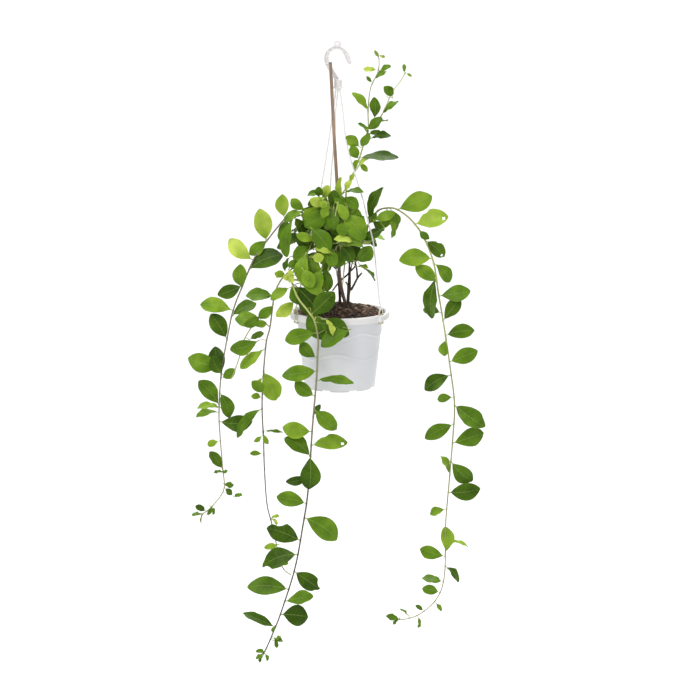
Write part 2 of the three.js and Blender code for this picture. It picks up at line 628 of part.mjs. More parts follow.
// A strand: a peg in the collar, the long run down to its lug, and a loop through the slot
function strandCurves(side) {
  const angle = degrees(LUG_ANGLES[side]);
  const out = new THREE.Vector3(Math.cos(angle), Math.sin(angle), 0);
  const across = new THREE.Vector3(-out.y, out.x, 0);
  const peg = out.clone().multiplyScalar(HOOK.socketCircle);
  const lug = out.clone().multiplyScalar(LUG.circle).add(new THREE.Vector3(POT.axisX, 0, 0));
  const at = (base, z, sideways = 0) => base.clone().addScaledVector(across, sideways).setZ(z).toArray();
  const pegRow = [at(peg, HOOK.socketTop - GAP), at(peg, HOOK.flangeBase - 2)];
  const run = [at(peg, HOOK.flangeBase - 1), ...STRAND_ROUTES[side], at(lug, STRAND.apexZ - 0.5)];
  const leg = (sign) => [
    at(lug, STRAND.apexZ), at(lug, STRAND.shoulderZ, sign * STRAND.legSpread * 0.8),
    at(lug, STRAND.shoulderZ - 8, sign * STRAND.legSpread), at(lug, STRAND.barZ, sign * STRAND.legSpread),
  ];
  const reach = STRAND.legSpread + STRAND.radius;
  const bar = [at(lug, STRAND.barZ, -reach), at(lug, STRAND.barZ, reach)];
  return {
    run: curveThrough(run),
    straights: [pegRow, bar].map(curveThrough),
    legs: [leg(-1), leg(1)].map(curveThrough),
  };
}

function strandParts(side, swell = 0) {
  const radii = [STRAND.radius, STRAND.radius];
  const { run, straights, legs } = strandCurves(side);
  const form = { radii, sides: STRAND.sides, swell };
  return [
    stemRings(run, { ...form, steps: STRAND.runSteps }),
    ...legs.map((curve) => stemRings(curve, { ...form, steps: STRAND.legSteps })),
    ...straights.map((curve) => stemRings(curve, { ...form, steps: 1 })),
  ];
}

function stakeRings(swell = 0, route = STAKE.route) {
  return stemRings(curveThrough(route), { ...STAKE, swell });
}

function limbRings({ points, radii }, swell = 0) {
  const curve = curveThrough(points);
  const steps = Math.ceil(curve.getLength() / WOOD.step);
  return stemRings(curve, { steps, radii, sides: WOOD.sides, swell });
}

// What stands before the foliage is placed
function guardFixtures() {
  const shell = [
    [0, MIX.crownZ + 3], [POT.mouthRadius - 12, MIX.crownZ - 6], [POT.mouthRadius - 2, POT.rimZ + 1],
    [LUG.outer + 1, POT.rimZ + 1], [LUG.outer + 1, bandBase - 1], [POT.neckRadius + 1, bandBase - 4],
    [POT.footRadius + 1, potBase - 1], [0, potBase - 1],
  ];
  guards.push({ owner: 'pot', stem: true, whole: outlineOf(sealed(turnedOnPot(shell))) });
  for (const side of Object.keys(STRAND_ROUTES)) {
    strandParts(side, CLEARANCE).forEach((rings) => guardStem('strand', rings));
  }
  guardStem('stake', stakeRings(CLEARANCE));
  LIMBS.forEach((limb) => guardStem('wood', limbRings(limb, CLEARANCE)));
}

// A shoot's two lengths: a woody foot that belongs to the limbs, then the leafy stem
function lengthsOf(curve, steps, radii) {
  const length = curve.getLength();
  const foot = WOOD.twig / length;
  return {
    foot: { end: foot, steps: 1, radii, sides: WOOD.sides },
    stem: { start: foot + GAP / length, steps, radii },
  };
}

// The stems of a long shoot: the main one and, where it has one, its side branch
function vineStems(name, vine, woodParts) {
  const curve = curveThrough(vine.route);
  const { foot, stem } = lengthsOf(curve, Math.round(curve.getLength() / vine.step), vine.radii);
  woodParts.push(stemRings(curve, foot));
  guardStem('wood', stemRings(curve, { ...foot, swell: CLEARANCE }));
  const shoots = [{ curve, stem, leaves: vine.leaves }];
  if (vine.branch) {
    const side = curveThrough(vine.branch.route);
    const branch = { steps: Math.round(side.getLength() / BRANCH_STEP), radii: vine.branch.radii };
    shoots.push({ curve: side, stem: branch, leaves: vine.branch.leaves });
  }
  shoots.forEach((shoot) => guardStem(name, stemRings(shoot.curve, { ...shoot.stem, swell: CLEARANCE })));
  return shoots;
}

function growVine(name, shoots, random) {
  const pieces = shoots.map(({ curve, stem }) => skin(stemRings(curve, stem)));
  for (const shoot of shoots) {
    const reach = shoot.curve.getLength() - LEAF.setback;
    for (const row of shoot.leaves) {
      const root = stemPoint(shoot.curve, shoot.stem, Math.min(row[0], reach));
      pieces.push(...placeLeaf(name, (attempt) => clockLeaf(root, row, attempt, random)));
    }
  }
  return pieces;
}

// Ends of the limbs that carry the crown's shoots
const ANCHORS = [[-14, 8, -319], [24, 4, -319], [16, -2, -346], [-30, 28, -351], [-37.5, -14, -360],
  [21, 32, -353]].map(vector);

function crownTargets() {
  const targets = [];
  for (let i = 0; i < CROWN_SHOOTS; i += 1) {
    const height = 1 - (2 * (i + 0.5)) / CROWN_SHOOTS;
    const azimuth = i * degrees(137.508);
    const flat = Math.sqrt(1 - height * height);
    targets.push(new THREE.Vector3(
      CROWN.x + CROWN.reach * CROWN.radiusX * flat * Math.cos(azimuth),
      CROWN.y + CROWN.reach * CROWN.radiusY * flat * Math.sin(azimuth),
      CROWN.z + CROWN.reach * CROWN.radiusZ * height,
    ));
  }
  return [...targets, ...RIM_SHOOTS.map(vector)];
}

function shootCurve(target, attempt, random) {
  const clear = ANCHORS.filter((anchor) => anchor.distanceTo(target) > SHOOT_MIN);
  const start = clear.sort((a, b) => a.distanceTo(target) - b.distanceTo(target))[attempt % 2];
  const end = target.clone();
  end.x += 6 * attempt * (random() - 0.5);
  end.y += 6 * attempt * (random() - 0.5);
  end.z += 6 * attempt * (random() - 0.5);
  const middle = start.clone().lerp(end, 0.5);
  middle.z += 0.12 * start.distanceTo(end);
  return new THREE.CatmullRomCurve3([start, middle, end], false, 'catmullrom', 0.5);
}

function growCrownShoot(name, target, random, woodParts) {
  for (let attempt = 0; attempt < TRIES; attempt += 1) {
    const curve = shootCurve(target, attempt, random);
    const length = curve.getLength();
    const { foot, stem } = lengthsOf(curve, CROWN_STEM.steps, CROWN_STEM.radii);
    const footOutline = outlineOf(skin(stemRings(curve, { ...foot, swell: CLEARANCE })));
    const outline = outlineOf(skin(stemRings(curve, { ...stem, swell: CLEARANCE })));
    const clear = guards.every((guard) => !cross(outline, guard.whole)
      && (guard.owner === 'wood' || !cross(footOutline, guard.whole)));
    if (clear) {
      woodParts.push(stemRings(curve, foot));
      guards.push({ owner: 'wood', stem: true, whole: footOutline });
      guards.push({ owner: name, stem: true, whole: outline });
      const pieces = [skin(stemRings(curve, stem))];
      const count = Math.floor((length - WOOD.twig - CROWN_STEM.shortest) / LEAF.spacing);
      for (let i = 0; i <= count; i += 1) {
        const along = length - LEAF.setback - LEAF.spacing * i;
        const root = stemPoint(curve, stem, along);
        const heading = curve.getTangentAt(along / length);
        pieces.push(...placeLeaf(name, (tries) => crownLeaf(root, heading, i, tries, random)));
      }
      return pieces;
    }
  }
  return [];
}

// The foliage is placed first, because the woody stems take the foot of every shoot.
guardFixtures();
const footRings = [];
const foliage = [];
const vines = Object.entries(VINES).map(([name, vine]) => {
  return { name, vine, shoots: vineStems(name, vine, footRings) };
});
for (const { name, vine, shoots } of vines) {
  foliage.push({ name, colour: vine.colour, pieces: growVine(name, shoots, seeded(vine.seed)) });
}
const crownRandom = seeded(83);
crownTargets().forEach((target, i) => {
  const name = `crown_shoot_${String(i + 1).padStart(2, '0')}`;
  const pieces = growCrownShoot(name, target, crownRandom, footRings);
  if (pieces.length > 1) foliage.push({ name, colour: CROWN_GREENS[i % CROWN_GREENS.length], pieces });
});

// Holes of the mix: the buried ends of the limbs and of the stake, a gap wider and deeper
const deeper = ([x, y, z]) => [x, y, z - 2 * GAP];
const buried = LIMBS.filter(({ points }) => points[0][2] < POT.rimZ)
  .map((limb) => ({ ...limb, points: [deeper(limb.points[0]), ...limb.points.slice(1)] }));
const holes = [...buried, ...ROOTS].map((limb) => limbRings(limb, GAP));
holes.push(stakeRings(GAP, [...STAKE.route.slice(0, -1), deeper(STAKE.route.at(-1))]));
const mix = holes.reduce((body, rings) => body.subtract(solid(skin(rings))), mixBody());

addNode('pot', geometryOf(potBody()), 0xeef0f1, 0.4);
addNode('potting_mix', geometryOf(mix), 0x3d2a20, 0.95);
addNode('hanger_hook', geometryOf(hookBody()), 0xf3eeea, 0.3, 0.5);
for (const side of Object.keys(STRAND_ROUTES)) {
  const strand = joined(strandParts(side).map((rings) => skin(rings)));
  addNode(`hanger_strand_${side}`, geometryOf(strand), 0xf3eeea, 0.3, 0.5);
}
addNode('stake', sealed(skin(stakeRings())), 0xb9977c, 0.6);
const limbs = [...LIMBS, ...ROOTS].map((limb) => limbRings(limb));
const wood = [...limbs, ...footRings].map((rings) => skin(rings));
addNode('woody_stems', geometryOf(joined(wood)), 0x4a3f33, 0.85);
for (const { name, colour, pieces } of foliage) addNode(name, geometryOf(joined(pieces)), colour, 0.45);

export default part;
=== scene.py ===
"""A potted curtain creeper in a white hanging pot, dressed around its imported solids.

Metres, +Z up. The origin is the hook's saddle, and the front is at -Y.
"""
import json
import math

import bmesh
import bpy
import numpy as np
from mathutils import Matrix, Vector

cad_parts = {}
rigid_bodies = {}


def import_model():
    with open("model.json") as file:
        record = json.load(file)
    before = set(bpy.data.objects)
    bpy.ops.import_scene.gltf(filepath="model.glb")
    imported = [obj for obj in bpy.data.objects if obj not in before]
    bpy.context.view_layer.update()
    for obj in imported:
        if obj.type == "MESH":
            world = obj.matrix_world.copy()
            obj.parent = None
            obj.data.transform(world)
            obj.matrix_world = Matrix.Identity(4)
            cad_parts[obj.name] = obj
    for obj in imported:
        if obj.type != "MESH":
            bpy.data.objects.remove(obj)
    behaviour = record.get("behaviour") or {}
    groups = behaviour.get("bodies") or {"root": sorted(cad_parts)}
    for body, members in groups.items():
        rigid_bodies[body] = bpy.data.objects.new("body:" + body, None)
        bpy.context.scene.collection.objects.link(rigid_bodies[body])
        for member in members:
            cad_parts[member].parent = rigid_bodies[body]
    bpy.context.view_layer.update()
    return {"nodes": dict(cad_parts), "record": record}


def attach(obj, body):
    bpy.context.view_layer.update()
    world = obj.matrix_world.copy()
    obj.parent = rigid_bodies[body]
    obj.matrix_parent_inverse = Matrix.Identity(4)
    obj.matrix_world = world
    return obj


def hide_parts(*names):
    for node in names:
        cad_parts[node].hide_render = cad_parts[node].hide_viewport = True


bl_info = {
    "name": "Potted Curtain Creeper",
    "version": (1, 0, 0),
    "blender": (4, 5, 0),
    "location": "View3D > Sidebar > Creeper",
    "description": "Builds the plant, its pot, mix, cane and hanger around the packed solids",
    "category": "Object",
}

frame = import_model()

MM = 0.001

# The pot in mm: where its axis stands, its heights and its radii
POT_AXIS = 3.0
RIM_Z = -454.0
POT_BASE = -589.0
BAND_BASE = -465.0
FLOOR_Z = POT_BASE + 7.0
MOUTH = 82.0
BAND = 88.0
WALL_TOP = 75.6
FOOT = 62.5
WALL = 2.2
WALL_STEPS = 66

# Arches between the feet: degrees from one to the next, half of an arch's width, and its height
FOOT_TURN = 45
ARCH_REACH = 7.5
ARCH_RISE = 5.5

# Moulded waves: height, swing, number around the pot, and where they start
WAVES = ((-489.5, 5.0, 5, 0.4), (-527.0, 6.5, 4, 1.9))

# Two corners of a lug and of its slot, from the pot's axis, and the drain holes
LUG = ((83, -10, BAND_BASE + 0.5), (91.5, 10, RIM_Z - 0.5))
SLOT = ((83.6, -8, -480), (87.4, 8, -440))
DRAIN_CIRCLE = 38
DRAIN_HOLE = [(0, -590), (4, -590), (4, -570), (0, -570)]

# The mix: its height in the middle, its fall towards the wall, and the height of its lumps
MIX_TOP = -443.5
MIX_FALL = 16
MIX_LUMPS = 1.6

# The ground under the crumbs: its side, the rings of its top, how low that starts, and how deep it lies
MIX_SIDE = [(72.8, -471.5), (80, -455)]
MIX_RINGS = (*range(76, 3, -4), 0)
MIX_EDGE = -470
MIX_COVER = 1.5

# Crumbs: how many forms, and the most on a square metre
CRUMB_KINDS = 6
MOST_CRUMBS = 90000.0

# The hook's centreline in the XZ plane, from tip to collar: x, z and half of the strip's width
HOOK_LINE = [
    (20.5, -25, 3), (18.5, -17, 4.4), (13.5, -7, 4.2), (7.5, 0, 3.4), (0, 3.2, 3.2),
    (-8, 2.5, 3.4), (-15.5, -3, 4), (-19.8, -12, 4.3), (-18.5, -22, 4.3), (-13.5, -32, 4.3),
    (-8, -41, 4.2), (-3, -48, 4), (-1, -52, 4),
]

# Profiles of the hook's ear and collar: radius and height
EAR = [(1.8, -3.2), (2.2, -3.5), (5.9, -3.5), (6.5, -2.9), (6.5, 2.9), (5.9, 3.5), (2.2, 3.5), (1.8, 3.2)]
COLLAR = [
    (0, -65.9), (8.6, -65.9), (9.2, -65.4), (9.2, -63.9), (8.7, -63.4), (7.4, -63.4), (7, -62.8), (6.9, -60),
    (6.5, -59.6), (6.9, -59.2), (6.8, -51), (6.1, -50.2), (0, -50),
]

# Where the middle of the ear is
EAR_PLACE = (-1, 0, 10)

# The hook's strip: half of its depth, breadth and ease of its lips, and half of the web's depth where it
# is plain, at a rib and at the tip
STRIP_HALF = 4
LIP = 1.3
LIP_EASE = 0.4
WEBS = (1.6, 2.7, 3.7)

# Ribs in the hook's channels: from one to the next, and their thickness
RIB_STEP = 11.0
RIB = 1.3

# The strands: angle and circle of their lugs, circle of their sockets, radii, and routes between
LUG_ANGLES = {"left": 207, "right": -33, "back": 87}
LUG_CIRCLE = 85.5
SOCKET_CIRCLE = 3.9
RUN_RADIUS = 1.3
STIRRUP_RADIUS = 1.5
STRAND_ROUTES = {
    "left": [(-8.5, -6, -105), (-15, -11, -147), (-29, -19, -233), (-50, -29, -330), (-69, -37, -425)],
    "right": [(8, -7, -101), (14, -13, -155), (26, -18, -201), (42, -28, -251), (52, -34, -292),
              (62, -39, -336), (71, -44, -420)],
    "back": [(-4, 12, -105), (-6, 21, -147), (-13, 39, -233), (-14, 58, -320), (-2, 76, -400)],
}

# Heights of a strand's peg and of the end of its run
PEG_TOP = -58.3
PEG_END = -67
RUN_END = -443.5

# A leg of a stirrup, as height and distance from the lug's middle, and half of the bar's length
STIRRUP_LEG = ((-442, 0), (-444.5, 3), (-449, 5.4), (-457, 6.2), (-469.2, 6.2))
BAR_HALF = 7.4

# The cane: its route, its length, and how far its joints are from the top
STAKE_ROUTE = [
    (-13, -15, -21), (-7, -14, -141), (-1, -10, -243), (1, -6, -322), (1.5, -4, -368),
    (4, -3, -403), (9, -3, -427), (12, -2, -441), (13, 2, -480), (14, 5, -520),
]
CANE_LENGTH = 500
CANE_JOINTS = (96, 214, 341, 440)

# Its radius at the top, what it gains towards the foot, and how far a joint stands out and reaches
CANE_RADIUS = 2.8
CANE_GAIN = 0.3
JOINT = 0.22
JOINT_REACH = 2.5

# Woody limbs and roots: points, then the radius at each end
LIMBS = [
    ([(3, 5, -458), (3.5, 5, -437), (2.5, 5, -418), (1.5, 5, -404), (0.7, 5, -389), (1, 5, -372),
      (-6, 7, -345), (-14, 8, -318)], (3, 2)),
    ([(18.5, -8, -458), (18, -7, -441), (18.7, -6, -430), (20.5, -5, -417), (23.6, -4, -416),
      (28.7, -3, -407), (34.5, -2, -396), (42, -2, -387)], (2.9, 1.7)),
    ([(34, -2, -397), (33, -1, -381), (31, 0, -372), (28, 2, -345), (24, 4, -318)], (1.9, 1.6)),
    ([(20, -5, -419), (16.8, -6, -408), (13.5, -7, -402)], (1.7, 1.3)),
    ([(21.5, -5, -417), (21.5, -5, -389), (20.8, -4, -381), (19, -3, -366), (16, -2, -345)], (1.7, 1.4)),
    ([(2, 5, -404), (8, 3, -398), (15.3, 1, -392), (22, 0, -384), (27.5, 0, -379), (31, 0, -374)], (2, 1.6)),
    ([(21.5, 0, -384.5), (24, 2, -375), (26.5, 4, -363)], (1.4, 1.1)),
    ([(1, 5, -376), (-4, 3, -380), (-10, 1, -374)], (1.5, 1.2)),
    ([(1, 5, -406), (-4, 4, -412), (-10, 3, -420)], (1.6, 1.3)),
    ([(-16, 24, -460), (-18, 25, -430), (-24, 28, -395), (-30, 28, -350)], (3, 2)),
    ([(16, 19, -460), (17.5, 21, -440), (18.5, 24, -415), (20, 28, -395), (21, 32, -352)], (2.9, 1.9)),
    ([(0.5, 5, -378), (-10, -2, -372), (-24, -9, -366), (-38, -14, -360)], (2.1, 1.7)),
    ([(3, 5, -455), (-7, 15, -457), (-16, 24, -456)], (2.6, 2.4)),
    ([(3, 5, -455), (9, 13, -457), (16, 19, -456)], (2.5, 2.3)),
]

# Ends of the limbs that the crown's shoots start from, and how much of a shoot's foot is woody
ANCHORS = [(-14, 8, -319), (24, 4, -319), (16, -2, -346), (-30, 28, -351), (-37.5, -14, -360), (21, 32, -353)]
TWIG = 14.0

# The share of a limb's radius that lies under its furrows
BARK_SHARE = 0.88

# Knees of a stem at a leaf's foot: how far they stand out and reach, and how far a foot needs no twig
KNEE = 0.35
KNEE_REACH = 2.2
FOOT_GAP = 1.5

# Leaves of the solids in mm: thickness, stalk, and where along the blade its last ring may sit
SOLID_THICK = 1.4
SOLID_STALK = 5
LAST_RINGS = (0.78, 0.7)

# Leaves shorter than this, in mm, are slim ones, and how broad those are
SMALL_LEAF = 25
SLIM = 0.75

# How much broader leaves are than those of the solids, how far they sway and twist, and the share of
# each blade of BITES among leaves that aren't listed
BROADER = (1.08, 1.24)
SWAY = 0.35
TWIST = 0.4
BLADE_SHARES = (0.48, 0.48, 0.0, 0.0, 0.04)

# How near a listed tip is to that of its leaf, for a tone, for a kind of blade, and for a leaf laid twice
TONE_REACH = 5
KIND_REACH = 3
TWIN_REACH = 10

# The crown in mm: its middle, its radius, and the spot that its leaves lean away from
CROWN_MIDDLE = np.array((-14, 8, -306))
CROWN_RADIUS = 62
CROWN_HEART = np.array((-14.0, 0.0, -320.0))

# How far to the front the solids' own leaves are kept, and leaves are added behind them
FRONT_LIMIT = -46
BACK_LIMIT = -40

# Least distances between the leaves kept at its front and between those that fill its back, and how
# often a place is tried for each of the latter
FRONT_GAP = 4
BACK_GAP = 3.2
TRIES = 14

# Seeds of the crown's leaves, of the listed leaves of long shoots, and of the first shoot's blades
CROWN_SEED = 40
VINE_SEED = 5
SHOOT_SEED = 100

# The open space under the crown where the limbs show
OPEN_LEFT = -14
OPEN_RIGHT = 66
OPEN_TOP = -364
OPEN_BACK = 20

# Long shoots: route, radii, and how woody the stem is at shares of its length (0 green, 1 brown)
SHOOTS = {
    "vine_left": [
        ([(-9, 7, -336), (-23, 2, -322), (-45, 2, -298), (-65, 0, -280), (-89, -4, -288),
          (-121, -10, -325), (-146, -13, -359), (-168, -16, -410), (-182, -18, -445), (-191, -18, -481),
          (-206, -18, -564), (-211, -18, -631), (-210, -18, -674), (-206, -18, -735), (-204, -18, -775),
          (-221, -20, -802), (-240, -22, -819), (-257, -24, -823)],
         (1.6, 0.9), ((0, 0.3), (0.2, 0.7), (0.6, 0.85), (1, 0.4))),
    ],
    "vine_inner": [
        ([(-36, -13, -361), (-60, -24, -360), (-88, -40, -382), (-102, -44, -398), (-111, -48, -423),
          (-118, -50, -474), (-126, -50, -510), (-133, -50, -605), (-131, -50, -678), (-130, -50, -727),
          (-126, -50, -793), (-117, -50, -833), (-107, -52, -880), (-98, -56, -911), (-83, -60, -923)],
         (1.5, 0.9), ((0, 0.2), (0.2, 0.6), (0.5, 0.95), (0.85, 1), (1, 0.5))),
        ([(-119, -50, -474), (-134, -55, -464), (-150, -60, -474), (-165, -64, -500),
          (-172, -66, -528), (-185, -68, -563)], (1.1, 0.9), ((0, 0.3), (1, 0.2))),
    ],
    "vine_front": [
        ([(-37, -15, -359), (-45, -34, -352), (-64, -54, -362), (-80, -63, -384), (-70, -78, -416),
          (-52, -92, -438), (-40, -98, -456), (-34, -100, -488), (-35, -100, -514), (-37, -100, -558),
          (-44, -100, -639), (-52, -100, -754), (-62, -100, -823), (-76, -100, -898), (-100, -102, -976),
          (-113, -104, -1010), (-128, -106, -1045), (-138, -108, -1058)],
         (1.8, 1.2), ((0, -0.1), (0.2, 0), (0.25, 0.55), (0.42, 0.7), (0.6, 1.05), (1, 1))),
        ([(-12, -30, -346), (-16, -56, -368), (-21, -63, -394), (-29, -76, -424), (-40, -98, -454)],
         (1.5, 1.2), ((0, -0.1), (1, 0))),
    ],
    "vine_right": [
        ([(31, 0.5, -368), (37, 6, -346), (49, 4, -323), (53, 2, -302), (61, 0, -289), (69, -2, -278),
          (80, -4, -273), (99, -6, -273), (119, -8, -285), (134, -10, -300), (149, -10, -322),
          (167, -10, -367), (177, -10, -425), (188, -10, -488), (199, -10, -558), (207, -10, -621),
          (205, -10, -682), (200, -10, -756), (194, -10, -844), (193, -10, -939), (179, -12, -984),
          (146, -16, -1013), (112, -20, -1021), (91, -22, -1015)],
         (1.65, 0.9), ((0, 0.7), (0.12, 0.6), (0.2, 0.2), (0.36, 0.15), (0.45, 0.5), (1, 0.5))),
    ],
    "upright_shoot": [
        ([(23, 4, -320), (19, 7, -290), (14, 8, -262), (17, 6, -232), (32, 6, -201), (43, 6, -168),
          (52, 6, -135), (52, 6, -107), (56, 6, -67), (69, 4, -37), (70, 2, -13), (64, 0, -2)],
         (1.9, 0.6), ((0, 0.1), (0.24, -0.1), (0.4, 0), (0.55, 0.4), (1, 0.6))),
        ([(52, 6, -136), (64, 2, -123), (76, 0, -111), (93, -4, -73), (107, -6, -54), (116, -6, -38)],
         (1.0, 0.7), ((0, 0.2), (1, 0.2))),
        ([(17, 4, -238), (6, -20, -246), (0, -52, -258), (-4, -64, -276), (-7, -56, -294), (-9, -36, -308)],
         (1.2, 0.9), ((0, 0), (1, -0.1))),
    ],
}

# Tone of the leaves of a node, from 0 (deep green) to 1 (young yellow-green)
TONES = {"leaf_deep": 0.2, "leaf_mid": 0.38, "leaf_light": 0.55, "leaf_young": 0.68}

# Leaves with a tone of their own: tip as seen from the front, x and z in mm, and tone
SINGLE_TONES = [
    (-97, -249, 0.78), (-137, -273, 0.85), (-190, -327, 0.9), (-233, -696, 0.7), (-96, -353, 0.12),
    (-96, -336, 0.3), (-211, -425, 0.12), (-223, -457, 0.15), (-143, -441, 0.22), (-217, -518, 0.05),
    (-151, -650, 0.12), (-154, -354, 0.5), (-264, -536, 0.4), (-246, -577, 0.28), (-241, -442, 0.55),
    (-229, -708, 0.2), (-170, -548, 0.62), (-109, -609, 0.62), (-140, -578, 0.7), (-149, -596, 0.65),
    (-160, -420, 0.3), (-180, -462, 0.5), (-177, -676, 0.3), (-97, -663, 0.2), (-194, -557, 0.5),
    (-91, -490, 0.42), (-65, -494, 0.28), (-96, -550, 0.46), (-74, -561, 0.36), (27, -562, 0.36),
    (-30, -602, 0.12), (-2, -644, 0.44), (-96, -642, 0.6), (16, -671, 0.56), (-90, -738, 0.02),
    (-108, -769, 0.42), (-2, -849, 0.42), (-125, -824, 0.06), (-133, -898, 0.14), (-32, -935, 0.03),
    (-160, -933, 0.25), (-43, -946, 0.4), (-53, -982, 0.0), (-168, -981, 0.1), (18, -480, 0.12),
    (-6, -405, 0.1), (-65, -431, 0.42), (191, -286, 0.78), (196, -404, 0.4), (106, -362, 0.6),
    (135, -374, 0.52), (193, -851, 0.62), (186, -359, 0.2), (166, -467, 0.15), (214, -431, 0.15),
    (154, -596, 0.12), (255, -776, 0.15), (219, -955, 0.1), (163, -253, 0.55), (101, -315, 0.3),
    (81, -313, 0.2), (80, -310, 0.5), (232, -417, 0.35), (241, -489, 0.2), (246, -524, 0.4),
    (260, -661, 0.25), (261, -678, 0.3), (155, -685, 0.3), (241, -764, 0.2), (236, -888, 0.6),
    (148, -893, 0.4), (43, -34, 0.95), (24, -74, 0.6), (22, -161, 0.25), (75, -142, 0.25),
    (82, -119, 0.35), (104, -88, 0.35), (81, -65, 0.3), (84, -38, 0.4), (113, -24, 0.45), (51, -209, 0.7),
    (50, -46, 0.35),
]

# Leaves seen on the crown's front: foot x, y, z, tip x, z, the width that shows, and tone
CROWN_LEAVES = [
    (-26, -30, -247, -53, -247, 9, 0.22), (-34, -34, -248, -33, -231, 12, 0.25),
    (-28, -22, -251, -16, -230, 14, 0.88), (3, -20, -255, 5, -216, 14, 0.72),
    (-3, -38, -267, -7, -236, 19, 0.12), (9, -44, -251, 36, -265, 29, 0.42),
    (14, -30, -243, 44, -242, 9, 0.22), (-27, -46, -264, -48, -251, 14, 0.9),
    (-12, -50, -267, -32, -256, 12, 0.8), (-59, -28, -271, -81, -253, 15, 0.5),
    (-36, -42, -265, -60, -286, 22, 0.62), (-61, -26, -277, -92, -293, 12, 0.45),
    (-17, -52, -277, -58, -297, 28, 0.34), (-45, -62, -302, -14, -339, 24, 0.28),
    (-39, -60, -318, -72, -311, 14, 0.55), (-45, -48, -338, -72, -315, 19, 0.08),
    (-59, -34, -319, -74, -287, 15, 0.1), (-76, -44, -287, -88, -352, 19, 0.32),
    (-50, -52, -334, -77, -356, 17, 0.42), (-7, -58, -268, -6, -303, 17, 0.18),
    (-2, -60, -259, 14, -287, 15, 0.58), (9, -54, -282, 44, -321, 34, 0.5),
    (24, -66, -305, -4, -299, 26, 0.42), (24, -70, -323, -7, -318, 12, 0.92),
    (2, -64, -326, 43, -330, 15, 0.44), (-17, -60, -337, -7, -367, 24, 0.42),
    (5, -56, -334, 26, -359, 22, 0.06), (3, -50, -340, -2, -370, 17, 0.3),
    (31, -46, -358, 58, -333, 22, 0.33), (-45, -72, -349, -24, -348, 15, 0.88),
    (-12, -68, -344, -39, -334, 10, 0.82), (-51, -66, -343, -60, -395, 17, 0.56),
    (-50, -56, -360, -28, -385, 17, 0.12), (-34, -74, -376, -55, -396, 21, 0.55),
    (-33, -64, -383, -21, -408, 15, 0.32), (-83, -50, -354, -92, -375, 9, 0.1),
    (-91, -58, -384, -109, -377, 19, 0.66), (-84, -76, -388, -93, -378, 9, 1.0),
    (-84, -78, -388, -84, -369, 9, 1.0), (-84, -77, -388, -75, -381, 9, 0.95),
    (-86, -68, -405, -115, -423, 14, 0.6), (-67, -86, -390, -24, -415, 15, 0.5),
    (35, -20, -374, 53, -375, 7, 0.8), (42, -10, -377, 64, -399, 4, 0.3),
    (58, -12, -333, 68, -337, 7, 0.3), (12, -48, -281, 0, -265, 15, 0.5),
    (-26, -50, -291, -12, -302, 14, 0.2), (-64, -40, -362, -81, -371, 12, 0.35),
    (-43, -60, -359, -45, -379, 15, 0.35), (-12, -44, -362, -26, -378, 14, 0.4),
    (24, -34, -293, 40, -278, 14, 0.4), (-55, -72, -345, -62, -394, 21, 0.52),
    (-45, -64, -352, -33, -397, 22, 0.42), (-29, -80, -370, -46, -407, 21, 0.5),
    (-26, -58, -370, -17, -409, 15, 0.3), (-60, -86, -369, -44, -399, 19, 0.58),
    (-70, -62, -359, -86, -365, 12, 0.4), (-19, -62, -338, -29, -361, 21, 0.46),
    (-7, -42, -247, 9, -264, 15, 0.35), (-28, -44, -309, -9, -329, 15, 0.15),
    (21, -40, -334, 41, -352, 19, 0.12), (-21, -62, -262, -27, -282, 15, 0.5),
    (12, -26, -239, 24, -222, 9, 0.85), (31, -40, -299, 48, -316, 15, 0.75),
    (-45, -34, -278, -60, -292, 15, 0.3), (-66, -44, -335, -60, -360, 17, 0.5),
]

